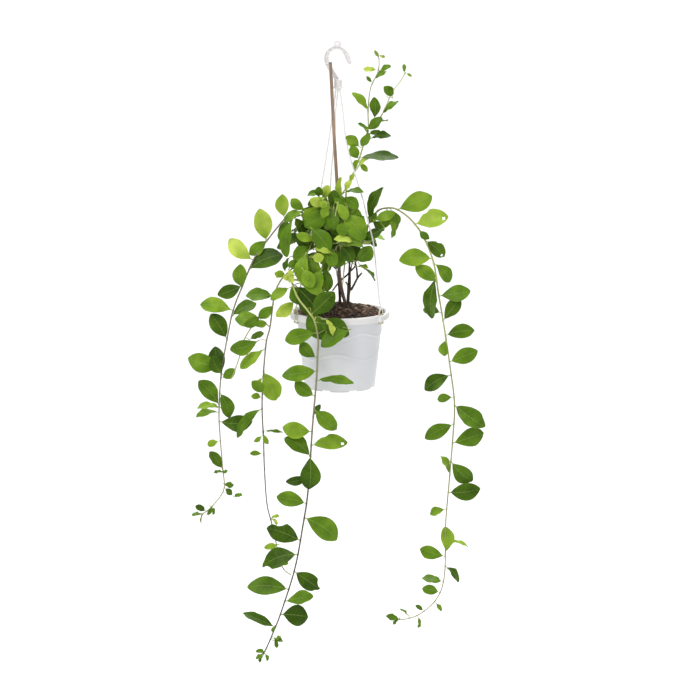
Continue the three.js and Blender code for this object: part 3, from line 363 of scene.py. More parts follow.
# Listed leaves of the long shoots, in the same form
HAND_LEAVES = {
    "vine_front": [
        (-71, -62, -403, -28, -452, 36, 0.0), (-46, -88, -438, -26, -488, 25, 0.2),
        (-49, -100, -696, -50, -750, 29, 0.1), (19, -102, -471, -29, -498, 22, 0.3),
        (-24, -104, -453, -9, -478, 9, 1.0), (-78, -60, -429, -107, -452, 19, 0.85),
        (-131, -108, -1049, -145, -1045, 6, 0.35), (-133, -108, -1054, -145, -1059, 6, 0.45),
        (-133, -107, -1058, -138, -1066, 5, 0.3), (-129, -107, -1055, -125, -1063, 5, 0.4),
        (-113, -105, -1026, -97, -1028, 7, 0.3), (-111, -106, -1027, -108, -1039, 5, 0.35),
        (-111, -104, -1028, -100, -1019, 5, 0.45), (-113, -104, -1004, -116, -1010, 4, 0.3),
    ],
    "vine_inner": [
        (-141, -58, -498, -187, -511, 24, 0.42), (-151, -60, -494, -128, -482, 10, 0.25),
        (-114, -52, -437, -137, -457, 15, 0.42), (-137, -58, -454, -163, -470, 14, 0.35),
        (-133, -50, -592, -150, -569, 15, 0.45), (-137, -50, -600, -152, -596, 10, 0.55),
        (-117, -50, -822, -104, -814, 4, 0.7), (-117, -50, -824, -108, -830, 3, 0.8),
        (-108, -56, -868, -131, -871, 8, 0.75), (-112, -56, -870, -119, -886, 9, 0.62),
    ],
    "vine_left": [
        (-204, -24, -562, -221, -530, 26, 0.1), (-211, -20, -626, -249, -625, 7, 0.6),
        (-214, -22, -635, -251, -640, 7, 0.5), (-207, -18, -744, -221, -744, 5, 0.3),
        (-205, -18, -744, -196, -740, 5, 0.35), (-202, -18, -766, -186, -766, 10, 0.35),
        (-200, -18, -776, -189, -784, 9, 0.2), (-184, -18, -789, -171, -784, 5, 0.3),
        (-238, -22, -815, -255, -804, 9, 0.15), (-247, -22, -821, -261, -822, 5, 0.3),
        (-229, -22, -808, -223, -820, 5, 0.35), (-242, -22, -823, -245, -835, 3, 0.2),
    ],
    "vine_right": [
        (109, -22, -1017, 87, -1010, 7, 0.25), (127, -20, -1014, 112, -998, 3, 0.3),
        (109, -22, -1019, 101, -1027, 3, 0.3), (58, -6, -290, 79, -236, 17, 0.2),
        (78, -14, -308, 45, -326, 15, 0.15), (66, -10, -293, 99, -280, 14, 0.5),
        (87, -6, -291, 94, -324, 12, 0.45),
    ],
    "upright_shoot": [
        (35, -4, -185, 22, -164, 21, 0.42), (30, -2, -206, 34, -188, 9, 0.6),
        (33, -4, -206, 55, -185, 9, 0.9), (55, -6, -142, 40, -164, 12, 0.42),
        (59, -2, -153, 91, -148, 9, 0.12), (52, -8, -135, 76, -115, 14, 0.32),
        (55, -4, -134, 86, -121, 7, 0.12), (54, -2, -148, 34, -126, 9, 0.35),
        (62, -6, -115, 63, -80, 15, 0.16), (42, -6, -185, 104, -185, 14, 0.1),
        (74, 2, -35, 91, -28, 9, 0.4), (92, -2, -80, 79, -62, 15, 0.3), (86, -4, -78, 95, -67, 10, 0.2),
        (36, -6, -165, 14, -147, 15, 0.5), (21, -6, -225, 29, -212, 7, 0.95),
    ],
}

# Bitten, slim and round leaves: x and z of the tip, blade by its place in BITES, and breadth
ODD_LEAVES = [
    (16, -671, 3, 0.82), (-125, -824, 2, 1.05), (-133, -898, 4, 1.0), (-32, -935, 4, 1.0),
    (27, -562, 0, 0.62), (-53, -982, 1, 1.45), (191, -286, 3, 1.0), (186, -359, 3, 1.0),
    (-168, -981, 0, 0.6), (-91, -490, 1, 0.92), (-90, -738, 0, 0.7), (-96, -550, 0, 0.85),
    (-97, -663, 0, 0.35), (236, -888, 0, 0.4), (-177, -676, 0, 0.62), (154, -685, 0, 0.8),
    (-160, -933, 0, 0.82),
]

# Colours of the patterns on leaves, stems, bark, cane, pot and clips, and of the painted shade at the pot's
# foot
RIB_GREEN = (0.42, 0.56, 0.16)
VEIN_GREEN = (0.36, 0.52, 0.10)
UNDER_GREEN = (0.36, 0.50, 0.17)
STALK_GREEN = (0.38, 0.50, 0.12)
SCORCH = (0.10, 0.08, 0.02)
RIPENING = (0.32, 0.34, 0.12)
LENTICEL = (0.45, 0.38, 0.24)
BARK_RIDGE = (0.19, 0.14, 0.10)
BARK_FLECK = (0.15, 0.13, 0.095)
CANE_MIDDLE = (0.27, 0.165, 0.12)
CANE_CUT = (0.10, 0.085, 0.06)
BAND_WHITE = (0.83, 0.815, 0.79)
# Painted shade: a grey-brown line along the bottom edge of the pot's feet
FOOT_PAINTED_SHADE = (0.36, 0.33, 0.29)
# A darker, warmer tint laid in blotches towards the pot's foot
FOOT_TINT = (0.62, 0.59, 0.53)
CLIP_CREAM = (0.74, 0.67, 0.53)

# Heights in metres between which the cane, its cut end, the pot's warmer tint, band and painted shade at its
# foot, and the clips change
CANE_CHANGE = (-0.42, -0.05)
CUT_CHANGE = (-0.0235, -0.0225)
FOOT_TINT_CHANGE = (-0.59, -0.53)
BAND_CHANGE = (-0.4665, -0.4655)
FOOT_SHADE_CHANGE = (-0.5888, -0.5862)
CLIP_CHANGE = (-0.4455, -0.4445)

# The backdrop in metres: half its width, where it starts to rise, the bend's radius, and its top
HALL = 9.0
RISE_START = 3.2
RISE_RADIUS = 1.6
HALL_TOP = 6.0

# Lights: place, aim and size in metres, and power in watts
MIDDLE = (0.0, 0.0, -0.5)
LIGHTS = {
    "key": ((-1.5, -2.2, 1.6), MIDDLE, 1.6, 46),
    "fill": ((2.3, -2.4, 0.3), MIDDLE, 2.4, 16),
    "top": ((0.2, 0.8, 1.9), MIDDLE, 2.0, 34),
    "backdrop": ((0.0, 1.6, 2.6), (0.0, 3.4, -1.2), 3.0, 120),
}

# The camera: place in metres, degrees up from straight down, and focal length in mm
CAMERA_PLACE = (-0.00086, -3.0, 0.0747)
CAMERA_TILT = 79.1
CAMERA_LENS = 92.05


def colour_setting(name, use, default):
    """A colour that can be set."""
    return bpy.props.FloatVectorProperty(name=name, description=use, subtype="COLOR", default=default)


def length_setting(name, use, default):
    """A length in metres that can be set."""
    return bpy.props.FloatProperty(name=name, description=use, default=default, unit="LENGTH")


def number_setting(name, use, default, least=0):
    """A whole number that can be set."""
    return bpy.props.IntProperty(name=name, description=use, default=default, min=least)


class LeafSettings(bpy.types.PropertyGroup):
    """Blades and greens of the leaves"""
    thickness: length_setting("Thickness", "Thickness of a blade", 0.00055)
    petiole: length_setting("Petiole", "Length of a leaf's stalk", 0.005)
    margin_wave: length_setting("Margin Wave", "Height of the waves of a blade's margin", 0.0011)
    extra: number_setting("Crown Leaves", "Leaves added to each short shoot of the crown", 6)
    deep: colour_setting("Deep Green", "Colour of old leaves", (0.033, 0.080, 0.002))
    middle: colour_setting("Green", "Colour of most leaves", (0.115, 0.232, 0.009))
    light: colour_setting("Light Green", "Colour of fresh leaves", (0.280, 0.435, 0.030))
    young: colour_setting("Young Green", "Colour of the youngest leaves", (0.560, 0.670, 0.110))


class StemSettings(bpy.types.PropertyGroup):
    """Stems, woody limbs and the cane"""
    sides: number_setting("Sides", "Sides of a stem", 10, 5)
    bark_relief: length_setting("Bark Relief", "Depth of the furrows of the woody limbs", 0.0005)
    bark: colour_setting("Bark", "Colour of the woody limbs", (0.060, 0.040, 0.028))
    green: colour_setting("Green Stem", "Colour of soft stems", (0.50, 0.57, 0.17))
    brown: colour_setting("Brown Stem", "Colour of ripe stems", (0.27, 0.235, 0.175))
    cane_top: colour_setting("Cane", "Colour of the cane's dry top", (0.42, 0.29, 0.19))
    cane_foot: colour_setting("Cane Foot", "Colour of the cane near the mix", (0.17, 0.10, 0.085))


class PotSettings(bpy.types.PropertyGroup):
    """The pot and its hanger"""
    segments: number_setting("Segments", "Steps around the pot", 288, 48)
    relief: length_setting("Wave Relief", "Height of the moulded waves", 0.0011)
    colour: colour_setting("Plastic", "Colour of the pot", (0.76, 0.77, 0.80))
    hanger: colour_setting("Hanger Plastic", "Colour of the hanger", (0.96, 0.94, 0.93))


class MixSettings(bpy.types.PropertyGroup):
    """The bark crumbs of the potting mix"""
    spacing: length_setting("Crumb Spacing", "Least distance between crumbs", 0.0046)
    crumb: length_setting("Crumb Size", "Half of a middling crumb's length", 0.0042)
    seed: number_setting("Seed", "Seed of the scatter", 7)
    dark: colour_setting("Dark Bark", "Colour of damp crumbs", (0.030, 0.020, 0.014))
    red: colour_setting("Red Bark", "Colour of most crumbs", (0.105, 0.058, 0.038))
    tan: colour_setting("Tan Bark", "Colour of dry crumbs", (0.34, 0.24, 0.16))


class StageSettings(bpy.types.PropertyGroup):
    """The floor, its backdrop and the even light"""
    floor_height: length_setting("Floor Height", "Height of the floor", -1.62)
    floor: colour_setting("Floor", "Colour of the floor and backdrop", (0.93, 0.93, 0.93))
    sky: bpy.props.FloatProperty(
        name="Room Light", description="Strength of the even light", default=0.5, min=0)


class Field:
    """An output of a node tree that can be used in sums as if it were a number or a vector."""

    def __init__(self, tree, socket):
        self.tree = tree
        self.socket = socket

    def _node(self, kind, operation, others, output=0):
        node = self.tree.nodes.new(kind)
        node.operation = operation
        for place, value in zip(node.inputs, (self, *others)):
            feed(self.tree, place, value)
        return Field(self.tree, node.outputs[output])

    def _math(self, operation, *others):
        return self._node("ShaderNodeMath", operation, others)

    def _vector(self, operation, *others):
        return self._node("ShaderNodeVectorMath", operation, others)

    def __add__(self, other):
        return self._math("ADD", other)

    def __sub__(self, other):
        return self._math("SUBTRACT", other)

    def __rsub__(self, other):
        return self._math("MULTIPLY", -1.0)._math("ADD", other)

    def __mul__(self, other):
        return self._math("MULTIPLY", other)

    def __truediv__(self, other):
        return self._math("DIVIDE", other)

    __radd__ = __add__
    __rmul__ = __mul__

    def sin(self):
        return self._math("SINE")

    def cos(self):
        return self._math("COSINE")

    def abs(self):
        return self._math("ABSOLUTE")

    def root(self):
        return self._math("SQRT")

    def power(self, other):
        return self._math("POWER", other)

    def least(self, other):
        return self._math("MINIMUM", other)

    def most(self, other):
        return self._math("MAXIMUM", other)

    def above(self, other):
        return self._math("GREATER_THAN", other)

    def plus(self, other):
        return self._vector("ADD", other)

    def minus(self, other):
        return self._vector("SUBTRACT", other)

    def cross(self, other):
        return self._vector("CROSS_PRODUCT", other)

    def stretched(self, factors):
        return self._vector("MULTIPLY", factors)

    def times(self, factor):
        node = self.tree.nodes.new("ShaderNodeVectorMath")
        node.operation = "SCALE"
        feed(self.tree, node.inputs[0], self)
        feed(self.tree, node.inputs["Scale"], factor)
        return Field(self.tree, node.outputs[0])

    def parts(self):
        node = self.tree.nodes.new("ShaderNodeSeparateXYZ")
        feed(self.tree, node.inputs[0], self)
        return [Field(self.tree, out) for out in node.outputs]

    def between(self, low, high, start=0.0, end=1.0):
        """Eases from start to end as the field goes from low to high."""
        node = self.tree.nodes.new("ShaderNodeMapRange")
        node.interpolation_type = "SMOOTHSTEP"
        feed(self.tree, node.inputs["Value"], self)
        for name, value in (("From Min", low), ("From Max", high), ("To Min", start), ("To Max", end)):
            node.inputs[name].default_value = value
        return Field(self.tree, node.outputs["Result"])


def feed(tree, place, value):
    """Links a field, a socket or a plain value into a node's input."""
    if isinstance(value, Field):
        value = value.socket
    if isinstance(value, bpy.types.NodeSocket):
        tree.links.new(value, place)
    else:
        place.default_value = value


class Nodes:
    """A node tree that nodes are added to."""

    def add(self, kind, values=(), **settings):
        """A new node with its settings and inputs."""
        node = self.tree.nodes.new(kind)
        for key, value in settings.items():
            setattr(node, key, value)
        for place, value in dict(values).items():
            feed(self.tree, node.inputs[place], value)
        return node

    def out(self, kind, values=(), output=0, **settings):
        """One output of a new node."""
        return Field(self.tree, self.add(kind, values, **settings).outputs[output])


class Tree(Nodes):
    """A Geometry Nodes tree with named inputs."""

    def __init__(self, name, inputs):
        self.tree = bpy.data.node_groups.new(name, "GeometryNodeTree")
        self.tree.interface.new_socket("Geometry", in_out="INPUT", socket_type="NodeSocketGeometry")
        for label, kind in inputs:
            self.tree.interface.new_socket(label, in_out="INPUT", socket_type="NodeSocket" + kind)
        self.tree.interface.new_socket("Geometry", in_out="OUTPUT", socket_type="NodeSocketGeometry")
        self.entry = self.tree.nodes.new("NodeGroupInput")

    def given(self, label):
        """One of the tree's own inputs."""
        return Field(self.tree, self.entry.outputs[label])

    def named(self, label, kind="FLOAT"):
        """A value stored on the mesh."""
        return self.out("GeometryNodeInputNamedAttribute", {"Name": label}, data_type=kind)

    def position(self):
        return self.out("GeometryNodeInputPosition")

    def chance(self, low, high, step, kind="FLOAT"):
        """A random value for each item, from the tree's seed moved on by a step."""
        first, output = (0, 0) if kind == "FLOAT_VECTOR" else (2, 1)
        seed = self.given("Seed") + step
        return self.out("FunctionNodeRandomValue", {first: low, first + 1: high, "Seed": seed}, output,
                        data_type=kind)

    def joined(self, *parts):
        node = self.add("GeometryNodeJoinGeometry")
        for part in parts:
            feed(self.tree, node.inputs[0], part)
        return Field(self.tree, node.outputs[0])

    def dressed(self, geometry, label="Finish"):
        return self.out("GeometryNodeSetMaterial", {"Geometry": geometry, "Material": self.given(label)})

    def realized(self, geometry):
        return self.out("GeometryNodeRealizeInstances", {"Geometry": geometry})

    def finish(self, geometry):
        feed(self.tree, self.add("NodeGroupOutput").inputs[0], geometry)
        return self.tree


def baked(obj):
    """The object's evaluated mesh."""
    graph = bpy.context.evaluated_depsgraph_get()
    return bpy.data.meshes.new_from_object(
        obj.evaluated_get(graph), preserve_all_data_layers=True, depsgraph=graph)


def grown(obj, tree, name, **values):
    """Runs a tree on an object and returns the result as a plain mesh object in its stead."""
    modifier = obj.modifiers.new(tree.name, "NODES")
    modifier.node_group = tree
    for item in tree.interface.items_tree:
        label = item.name.replace(" ", "_").lower()
        if item.in_out == "INPUT" and label in values:
            modifier[item.identifier] = values[label]
    mesh = baked(obj)
    mesh.name = name
    modifier.node_group = None
    drop(obj)
    return add_object(name, mesh)


def add_object(name, mesh):
    """An object for some data, linked into the scene."""
    obj = bpy.data.objects.new(name, mesh)
    bpy.context.scene.collection.objects.link(obj)
    return obj


def drop(*objects):
    """Removes objects that have done their work."""
    for obj in objects:
        bpy.data.objects.remove(obj)


def make_mesh(name, points, faces=(), edges=()):
    """A mesh from its points, faces and edges."""
    mesh = bpy.data.meshes.new(name)
    mesh.from_pydata([tuple(p) for p in points], edges, faces)
    mesh.update()
    return mesh


def set_values(mesh, label, values, kind="FLOAT"):
    """Stores one value per point of a mesh."""
    values = np.asarray(values)
    layer = mesh.attributes.new(label, kind, "POINT")
    layer.data.foreach_set("vector" if kind == "FLOAT_VECTOR" else "value", values.ravel())


def fused(base, others, operation="UNION"):
    """The base joined with, or cut by, the others, as a plain mesh object."""
    for other in others:
        modifier = base.modifiers.new("Fuse", "BOOLEAN")
        modifier.object = other
        modifier.operation = operation
        modifier.solver = "MANIFOLD"
    bpy.context.view_layer.update()
    name = base.name
    mesh = baked(base)
    drop(base, *others)
    return add_object(name, mesh)


def soften(obj, angle=35):
    """Smooth shading with crisp edges where faces meet at more than an angle."""
    obj.data.shade_smooth()
    obj.data.set_sharp_from_angle(angle=math.radians(angle))


def coated(obj, name, finish):
    """Names a joined piece and gives it one material all over."""
    obj.name = obj.data.name = name
    obj.data.materials.clear()
    obj.data.materials.append(finish)


def placed(obj, node):
    """Fixes a finished piece to the body, in the stead of its solid."""
    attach(obj, "root")
    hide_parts(node)


def outward(mesh, merge=None):
    """Turns a closed mesh's faces outwards, after merging its doubled points where a gap is given."""
    shell = bmesh.new()
    shell.from_mesh(mesh)
    if merge:
        bmesh.ops.remove_doubles(shell, verts=shell.verts, dist=merge)
    bmesh.ops.recalc_face_normals(shell, faces=shell.faces)
    bmesh.ops.triangulate(shell, faces=[face for face in shell.faces if len(face.verts) > 4])
    shell.to_mesh(mesh)
    shell.free()
    return mesh


def unit(vector):
    """The vector at a length of one."""
    return vector / np.linalg.norm(vector)


def spline(rows, per_span=24):
    """Dense points of a Catmull-Rom curve through rows."""
    rows = np.array(rows, float)
    ends = np.vstack([2 * rows[0] - rows[1], rows, 2 * rows[-1] - rows[-2]])
    t = np.linspace(0, 1, per_span, endpoint=False)[:, None]
    points = []
    for a, b, c, d in zip(ends, ends[1:], ends[2:], ends[3:]):
        leave, arrive = (c - a) / 2, (d - b) / 2
        points.append(b + leave * t + (3 * (c - b) - 2 * leave - arrive) * t ** 2
                      + (2 * (b - c) + leave + arrive) * t ** 3)
    return np.vstack([*points, rows[-1:]])


def paced(points, step, start=0.0, end=None):
    """Points at even distances along a line, from start to end in the line's own unit."""
    gaps = np.linalg.norm(np.diff(points, axis=0), axis=1)
    at = np.concatenate([[0], np.cumsum(gaps)])
    end = at[-1] if end is None else min(end, at[-1])
    wanted = np.linspace(start, end, max(2, int(math.ceil((end - start) / step)) + 1))
    spots = np.column_stack([np.interp(wanted, at, points[:, k]) for k in range(3)])
    return spots, wanted / at[-1]


def line_object(name, lines):
    """A wire of several lines. Each is its points in mm, radii in mm and how woody it is."""
    points, edges, radii, woody = [], [], [], []
    for spots, widths, ripe in lines:
        first = len(points)
        points.extend(spots * MM)
        edges.extend((first + k, first + k + 1) for k in range(len(spots) - 1))
        radii.extend(np.broadcast_to(widths, len(spots)) * MM)
        woody.extend(np.broadcast_to(ripe, len(spots)))
    mesh = make_mesh(name, points, edges=edges)
    set_values(mesh, "thickness", np.array(radii))
    set_values(mesh, "woody", np.array(woody))
    return add_object(name, mesh)


def tube_of(tree, wire):
    """Round tubes along a wire, as wide as its thickness says."""
    line = tree.out("GeometryNodeMeshToCurve", {"Mesh": wire})
    ring = tree.out("GeometryNodeCurvePrimitiveCircle", {"Resolution": tree.given("Sides"), "Radius": 1.0})
    return tree.out("GeometryNodeCurveToMesh", {
        "Curve": line, "Profile Curve": ring, "Scale": tree.named("thickness"), "Fill Caps": True})


def roughened(tree, geometry, amount, scale):
    """Furrows pushed out along the normals."""
    noise = tree.out("ShaderNodeTexNoise", {
        "Vector": tree.position().stretched((1.0, 1.0, 0.35)), "Scale": scale, "Detail": 3.0})
    normal = tree.out("GeometryNodeInputNormal")
    offset = normal.times((noise - 0.5) * amount)
    return tree.out("GeometryNodeSetPosition", {"Geometry": geometry, "Offset": offset})


def tube_tree():
    """Round tubes along the lines of a wire, with furrows."""
    tree = Tree("Tubes", [
        ("Sides", "Int"), ("Relief", "Float"), ("Relief Scale", "Float"), ("Finish", "Material")])
    tube = tube_of(tree, tree.given("Geometry"))
    tube = roughened(tree, tube, tree.given("Relief"), tree.given("Relief Scale"))
    smooth = tree.out("GeometryNodeSetShadeSmooth", {"Geometry": tube})
    return tree.finish(tree.dressed(tree.realized(smooth)))


# A flat blade: shares of its length and of its half width, its width and stalk, and its bites and holes
STATIONS = (-1.0, -0.5, 0.0, 0.05, 0.13, 0.23, 0.35, 0.47, 0.59, 0.7, 0.8, 0.89, 0.96, 1.0)
ACROSS = (-1.0, -0.55, 0.0, 0.55, 1.0)
WIDTH = 0.47
STALK = 0.013
BITES = {
    "blade_a": ({}, ()),
    "blade_b": ({}, ()),
    "blade_c": ({(0.59, 1): 0.62, (0.7, 1): 0.5, (0.8, 1): 0.7}, ()),
    "blade_d": ({(0.35, -1): 0.8}, ((10, 2),)),
    "blade_e": ({(0.8, -1): 0.55, (0.89, -1): 0.3, (0.96, -1): 0.4, (0.89, 1): 0.8}, ()),
}


def half_width(t, full):
    """Half of a blade's width at a share of its length, for a slim or a full outline."""
    if t <= 0:
        return STALK
    body = WIDTH / 2 * math.sin(math.pi * t ** full) ** 0.7
    return max(body, STALK * (1 - t) + 0.003)


def blade_object(name):
    """A flat blade with its stalk, one unit long: across, along, and upper (1) or lower (-1)."""
    bites, holes = BITES[name]
    full = 1.25 if name == "blade_b" else 1.1
    flat, faces = [], []
    for y in STATIONS:
        for u in ACROSS:
            side = (u > 0) - (u < 0)
            flat.append((u * half_width(y, full) * bites.get((y, side), 1.0), y))
    across = len(ACROSS)
    for k in range(len(STATIONS) - 1):
        for i in range(across - 1):
            if (k, i) not in holes:
                a = k * across + i
                faces += [(a, a + 1, a + 1 + across), (a, a + 1 + across, a + across)]
    count = len(flat)
    borders = {}
    for face in faces:
        for a, b in zip(face, face[1:] + face[:1]):
            if borders.pop((b, a), None) is None:
                borders[(a, b)] = True
    solid = list(faces)
    solid += [tuple(i + count for i in reversed(face)) for face in faces]
    solid += [(b, a, a + count, b + count) for a, b in borders]
    points = [(x, y, 1.0) for x, y in flat] + [(x, y, -1.0) for x, y in flat]
    mesh = make_mesh(name, points, solid)
    set_values(mesh, "blade", points, "FLOAT_VECTOR")
    set_values(mesh, "edge", [abs(u) if y > 0 else 0.0 for y in STATIONS for u in ACROSS] * 2)
    return bpy.data.objects.new(name, mesh)


def leafy_tree():
    """Leaves on points, each bent along its own arc, and the stems that carry them."""
    tree = Tree("Leafy Shoot", [
        ("Blades", "Collection"), ("Stems", "Object"), ("Sides", "Int"), ("Thickness", "Float"),
        ("Petiole", "Float"), ("Margin Wave", "Float"), ("Leaf Finish", "Material"),
        ("Stem Finish", "Material")])
    blades = tree.out("GeometryNodeCollectionInfo", {
        "Collection": tree.given("Blades"), "Separate Children": True, "Reset Children": True})
    copies = tree.out("GeometryNodeInstanceOnPoints", {
        "Points": tree.given("Geometry"), "Instance": blades, "Pick Instance": True,
        "Instance Index": tree.named("kind", "INT")})
    flat = tree.realized(copies)
    blade, along, face = (tree.named(label, "FLOAT_VECTOR") for label in ("blade", "along", "face"))
    length, bend, fold, phase = (tree.named(label) for label in ("length", "bend", "fold", "phase"))
    breadth, sway, twist = (tree.named(label) for label in ("breadth", "sway", "twist"))
    x, y, layer = blade.parts()
    neck = tree.given("Petiole").least(length * 0.2) / length
    share = neck * (y.least(0.0) + 1.0) + (1.0 - neck) * y.most(0.0)
    turn = bend * (0.5 - share)
    half = bend * 0.5
    chord = half.sin() * 2.0
    forward = (half.sin() - turn.sin()) / chord
    rise = (turn.cos() - half.cos()) / chord
    arched = face.times(turn.cos()).minus(along.times(turn.sin()))
    level = along.cross(face)
    roll = twist * (share - 0.4)
    side = level.times(roll.cos()).plus(arched.times(roll.sin()))
    normal = arched.times(roll.cos()).minus(level.times(roll.sin()))
    spread = tree.named("edge").power(2.0)
    ripple = (share * 13.0 + phase * 6.28 + x * 9.0).sin() + (share * 23.0 - phase * 9.0).sin() * 0.5
    lift = fold * ((x * x + 0.0006).root() - 0.0245) * length + ripple * spread * tree.given("Margin Wave")
    skin = layer * tree.given("Thickness") * (0.5 + 0.9 * (1.0 - x.abs().between(0.0, 0.02)))
    foot = tree.position().minus(blade)
    spot = foot.plus(along.times(forward * length)).plus(face.times(rise * length))
    spot = spot.plus(level.times(sway * share * (1.0 - share) * length))
    spot = spot.plus(side.times(x * breadth * length)).plus(normal.times(lift + skin))
    bent = tree.out("GeometryNodeSetPosition", {"Geometry": flat, "Position": spot})
    leaves = tree.dressed(bent, "Leaf Finish")
    wire = tree.out("GeometryNodeObjectInfo", {"Object": tree.given("Stems")}, output=4)
    stems = tree.dressed(roughened(tree, tube_of(tree, wire), 0.0004, 420.0), "Stem Finish")
    return tree.finish(tree.realized(tree.joined(leaves, stems)))


def node_shape(name):
    """Corners of a solid in mm, and for each its neighbours and its number of faces."""
    shape = bmesh.new()
    shape.from_mesh(frame["nodes"][name].data)
    bmesh.ops.remove_doubles(shape, verts=shape.verts, dist=0.002 * MM)
    shape.verts.ensure_lookup_table()
    corners = np.array([v.co for v in shape.verts], float) / MM
    near = [[e.other_vert(v).index for e in v.link_edges] for v in shape.verts]
    faces = [len(v.link_faces) for v in shape.verts]
    shape.free()
    return corners, near, faces


def leaf_from(corners, tip, upper, lower, left, right):
    """The leaf whose last ring has these corners, or None where they don't fit the leaf's form."""
    thick = np.linalg.norm(corners[upper] - corners[lower])
    if abs(thick - SOLID_THICK) > 0.02:
        return None
    middle = (corners[upper] + corners[lower]) / 2
    normal = (corners[upper] - corners[lower]) / thick
    across = corners[left] - corners[right]
    across -= normal * (across @ normal)
    way = corners[tip] - middle
    reach = np.linalg.norm(way)
    angle = math.acos(np.clip(way @ normal / reach, -1, 1)) - math.pi / 2
    best = None
    for t in LAST_RINGS:
        length = np.linalg.norm(across) / WIDTH / math.sin(math.pi * t ** 1.1) ** 0.8
        neck = min(SOLID_STALK, 0.2 * length) / length
        share = neck + (1 - neck) * t
        bend = 2 * angle / (1 - share)
        if abs(bend) < 0.01:
            continue
        expected = length * math.sin(abs(bend) * (1 - share) / 2) / math.sin(abs(bend) / 2)
        error = abs(expected - reach) / reach
        if error < 0.01 and (best is None or error < best[0]):
            best = (error, length, bend, share)
    if best is None:
        return None
    _, length, bend, share = best
    if bend < 0:
        normal, bend = -normal, -bend
    tangent = unit(way - normal * (way @ normal))
    turn = bend * (0.5 - share)
    along = tangent * math.cos(turn) - normal * math.sin(turn)
    face = normal * math.cos(turn) + tangent * math.sin(turn)
    edges = (corners[left] + corners[right]) / 2 - middle
    fold = float(edges @ normal) / (np.linalg.norm(across) / 2)
    return {"foot": corners[tip] - along * length, "along": along, "face": face, "length": length,
            "bend": bend, "fold": min(max(fold, 0.05), 0.35)}


def leaves_of(name, shape):
    """The leaves of a solid, found by their tips."""
    corners, near, faces = shape
    found = []
    for tip, ring in enumerate(near):
        if len(ring) != 4 or faces[tip] != 4:
            continue
        for a, b, c, d in ((0, 1, 2, 3), (0, 2, 1, 3), (0, 3, 1, 2)):
            a, b, c, d = ring[a], ring[b], ring[c], ring[d]
            if b in near[a] or d in near[c]:
                continue
            leaf = leaf_from(corners, tip, a, b, c, d) or leaf_from(corners, tip, c, d, a, b)
            if leaf:
                found.append(leaf)
                break
    if not found:
        raise RuntimeError(f"no leaf was found on {name}")
    return sorted(found, key=lambda leaf: tuple(np.round(leaf["foot"], 1)))


def nearest(line, spot):
    """The point of a line that is nearest to a spot."""
    return line[np.argmin(np.linalg.norm(line - spot, axis=1))]


def seen_tip(leaf):
    """Where a leaf ends, as seen from the front: x and z in mm."""
    return (leaf["foot"] + leaf["along"] * leaf["length"])[[0, 2]]


def tone_of(leaf, slot, random):
    """Green of a leaf: that of its shoot, or one of its own."""
    for x, z, tone in SINGLE_TONES:
        if math.dist(seen_tip(leaf), (x, z)) < TONE_REACH:
            return tone
    return TONES[slot] + random.uniform(-0.2, 0.2)


def shape_by_tip(leaf):
    """Gives a leaf the blade and breadth that its tip's place is listed with."""
    for x, z, kind, breadth in ODD_LEAVES:
        if math.dist(seen_tip(leaf), (x, z)) < KIND_REACH:
            leaf["kind"] = kind
            leaf["breadth"] = breadth


def ends_with(leaf, others):
    """Whether one of the others ends where the leaf does, as seen from the front."""
    return any(math.dist(seen_tip(leaf), seen_tip(other)) < TWIN_REACH for other in others)


def samples(leaf):
    """A few points of a blade in mm, for keeping leaves apart."""
    side = np.cross(leaf["along"], leaf["face"])
    rows = []
    for share in (0.3, 0.5, 0.7, 0.9):
        rise = 0.5 * leaf["bend"] * share * (1 - share)
        spot = leaf["foot"] + (leaf["along"] * share + leaf["face"] * rise) * leaf["length"]
        reach = 0.16 * leaf["length"] * (1 if share < 0.9 else 0.3)
        rows += [spot, spot + side * reach, spot - side * reach]
    return np.array(rows)


def crown_leaf(foot, heading, random):
    """A leaf of the crown that leans out of it and droops."""
    out = unit(foot - CROWN_HEART)
    spin = random.uniform(0, 2 * math.pi)
    first = unit(np.cross(heading, (0.3, 0.2, 1.0)))
    side = first * math.cos(spin) + np.cross(heading, first) * math.sin(spin)
    along = heading * random.uniform(0.2, 0.6) + side * 0.8 + out * random.uniform(0.3, 0.8)
    along[2] -= random.uniform(0.1, 0.6)
    along = unit(along)
    lean = [random.uniform(low, high) for low, high in ((-0.3, 0.3), (-0.4, 0.2), (0.3, 0.7))]
    face = out * 0.8 + np.array(lean)
    face = unit(face - along * (face @ along))
    return {"foot": foot, "along": along, "face": face, "length": random.uniform(36, 56),
            "bend": random.uniform(0.3, 0.8), "fold": random.uniform(0.1, 0.32)}


def seen_height(spots):
    """Heights of points as they line up, from the front, with the plant's middle plane."""
    return spots[:, 2] + 0.27 * spots[:, 1]


def hides_limbs(spots):
    """Whether any of the points lies in front of the open limbs under the crown."""
    across = (spots[:, 0] > OPEN_LEFT) & (spots[:, 0] < OPEN_RIGHT)
    return bool(np.any(across & (seen_height(spots) < OPEN_TOP) & (spots[:, 1] < OPEN_BACK)))


def in_crown(spots):
    """Whether points stay inside the crown's outline."""
    return bool(np.all(np.linalg.norm(spots - CROWN_MIDDLE, axis=1) < CROWN_RADIUS))


def least_gap(dots, others):
    """The least distance between the sample points of a leaf and those of others."""
    return np.linalg.norm(dots[:, None] - np.vstack(others)[None], axis=2).min()


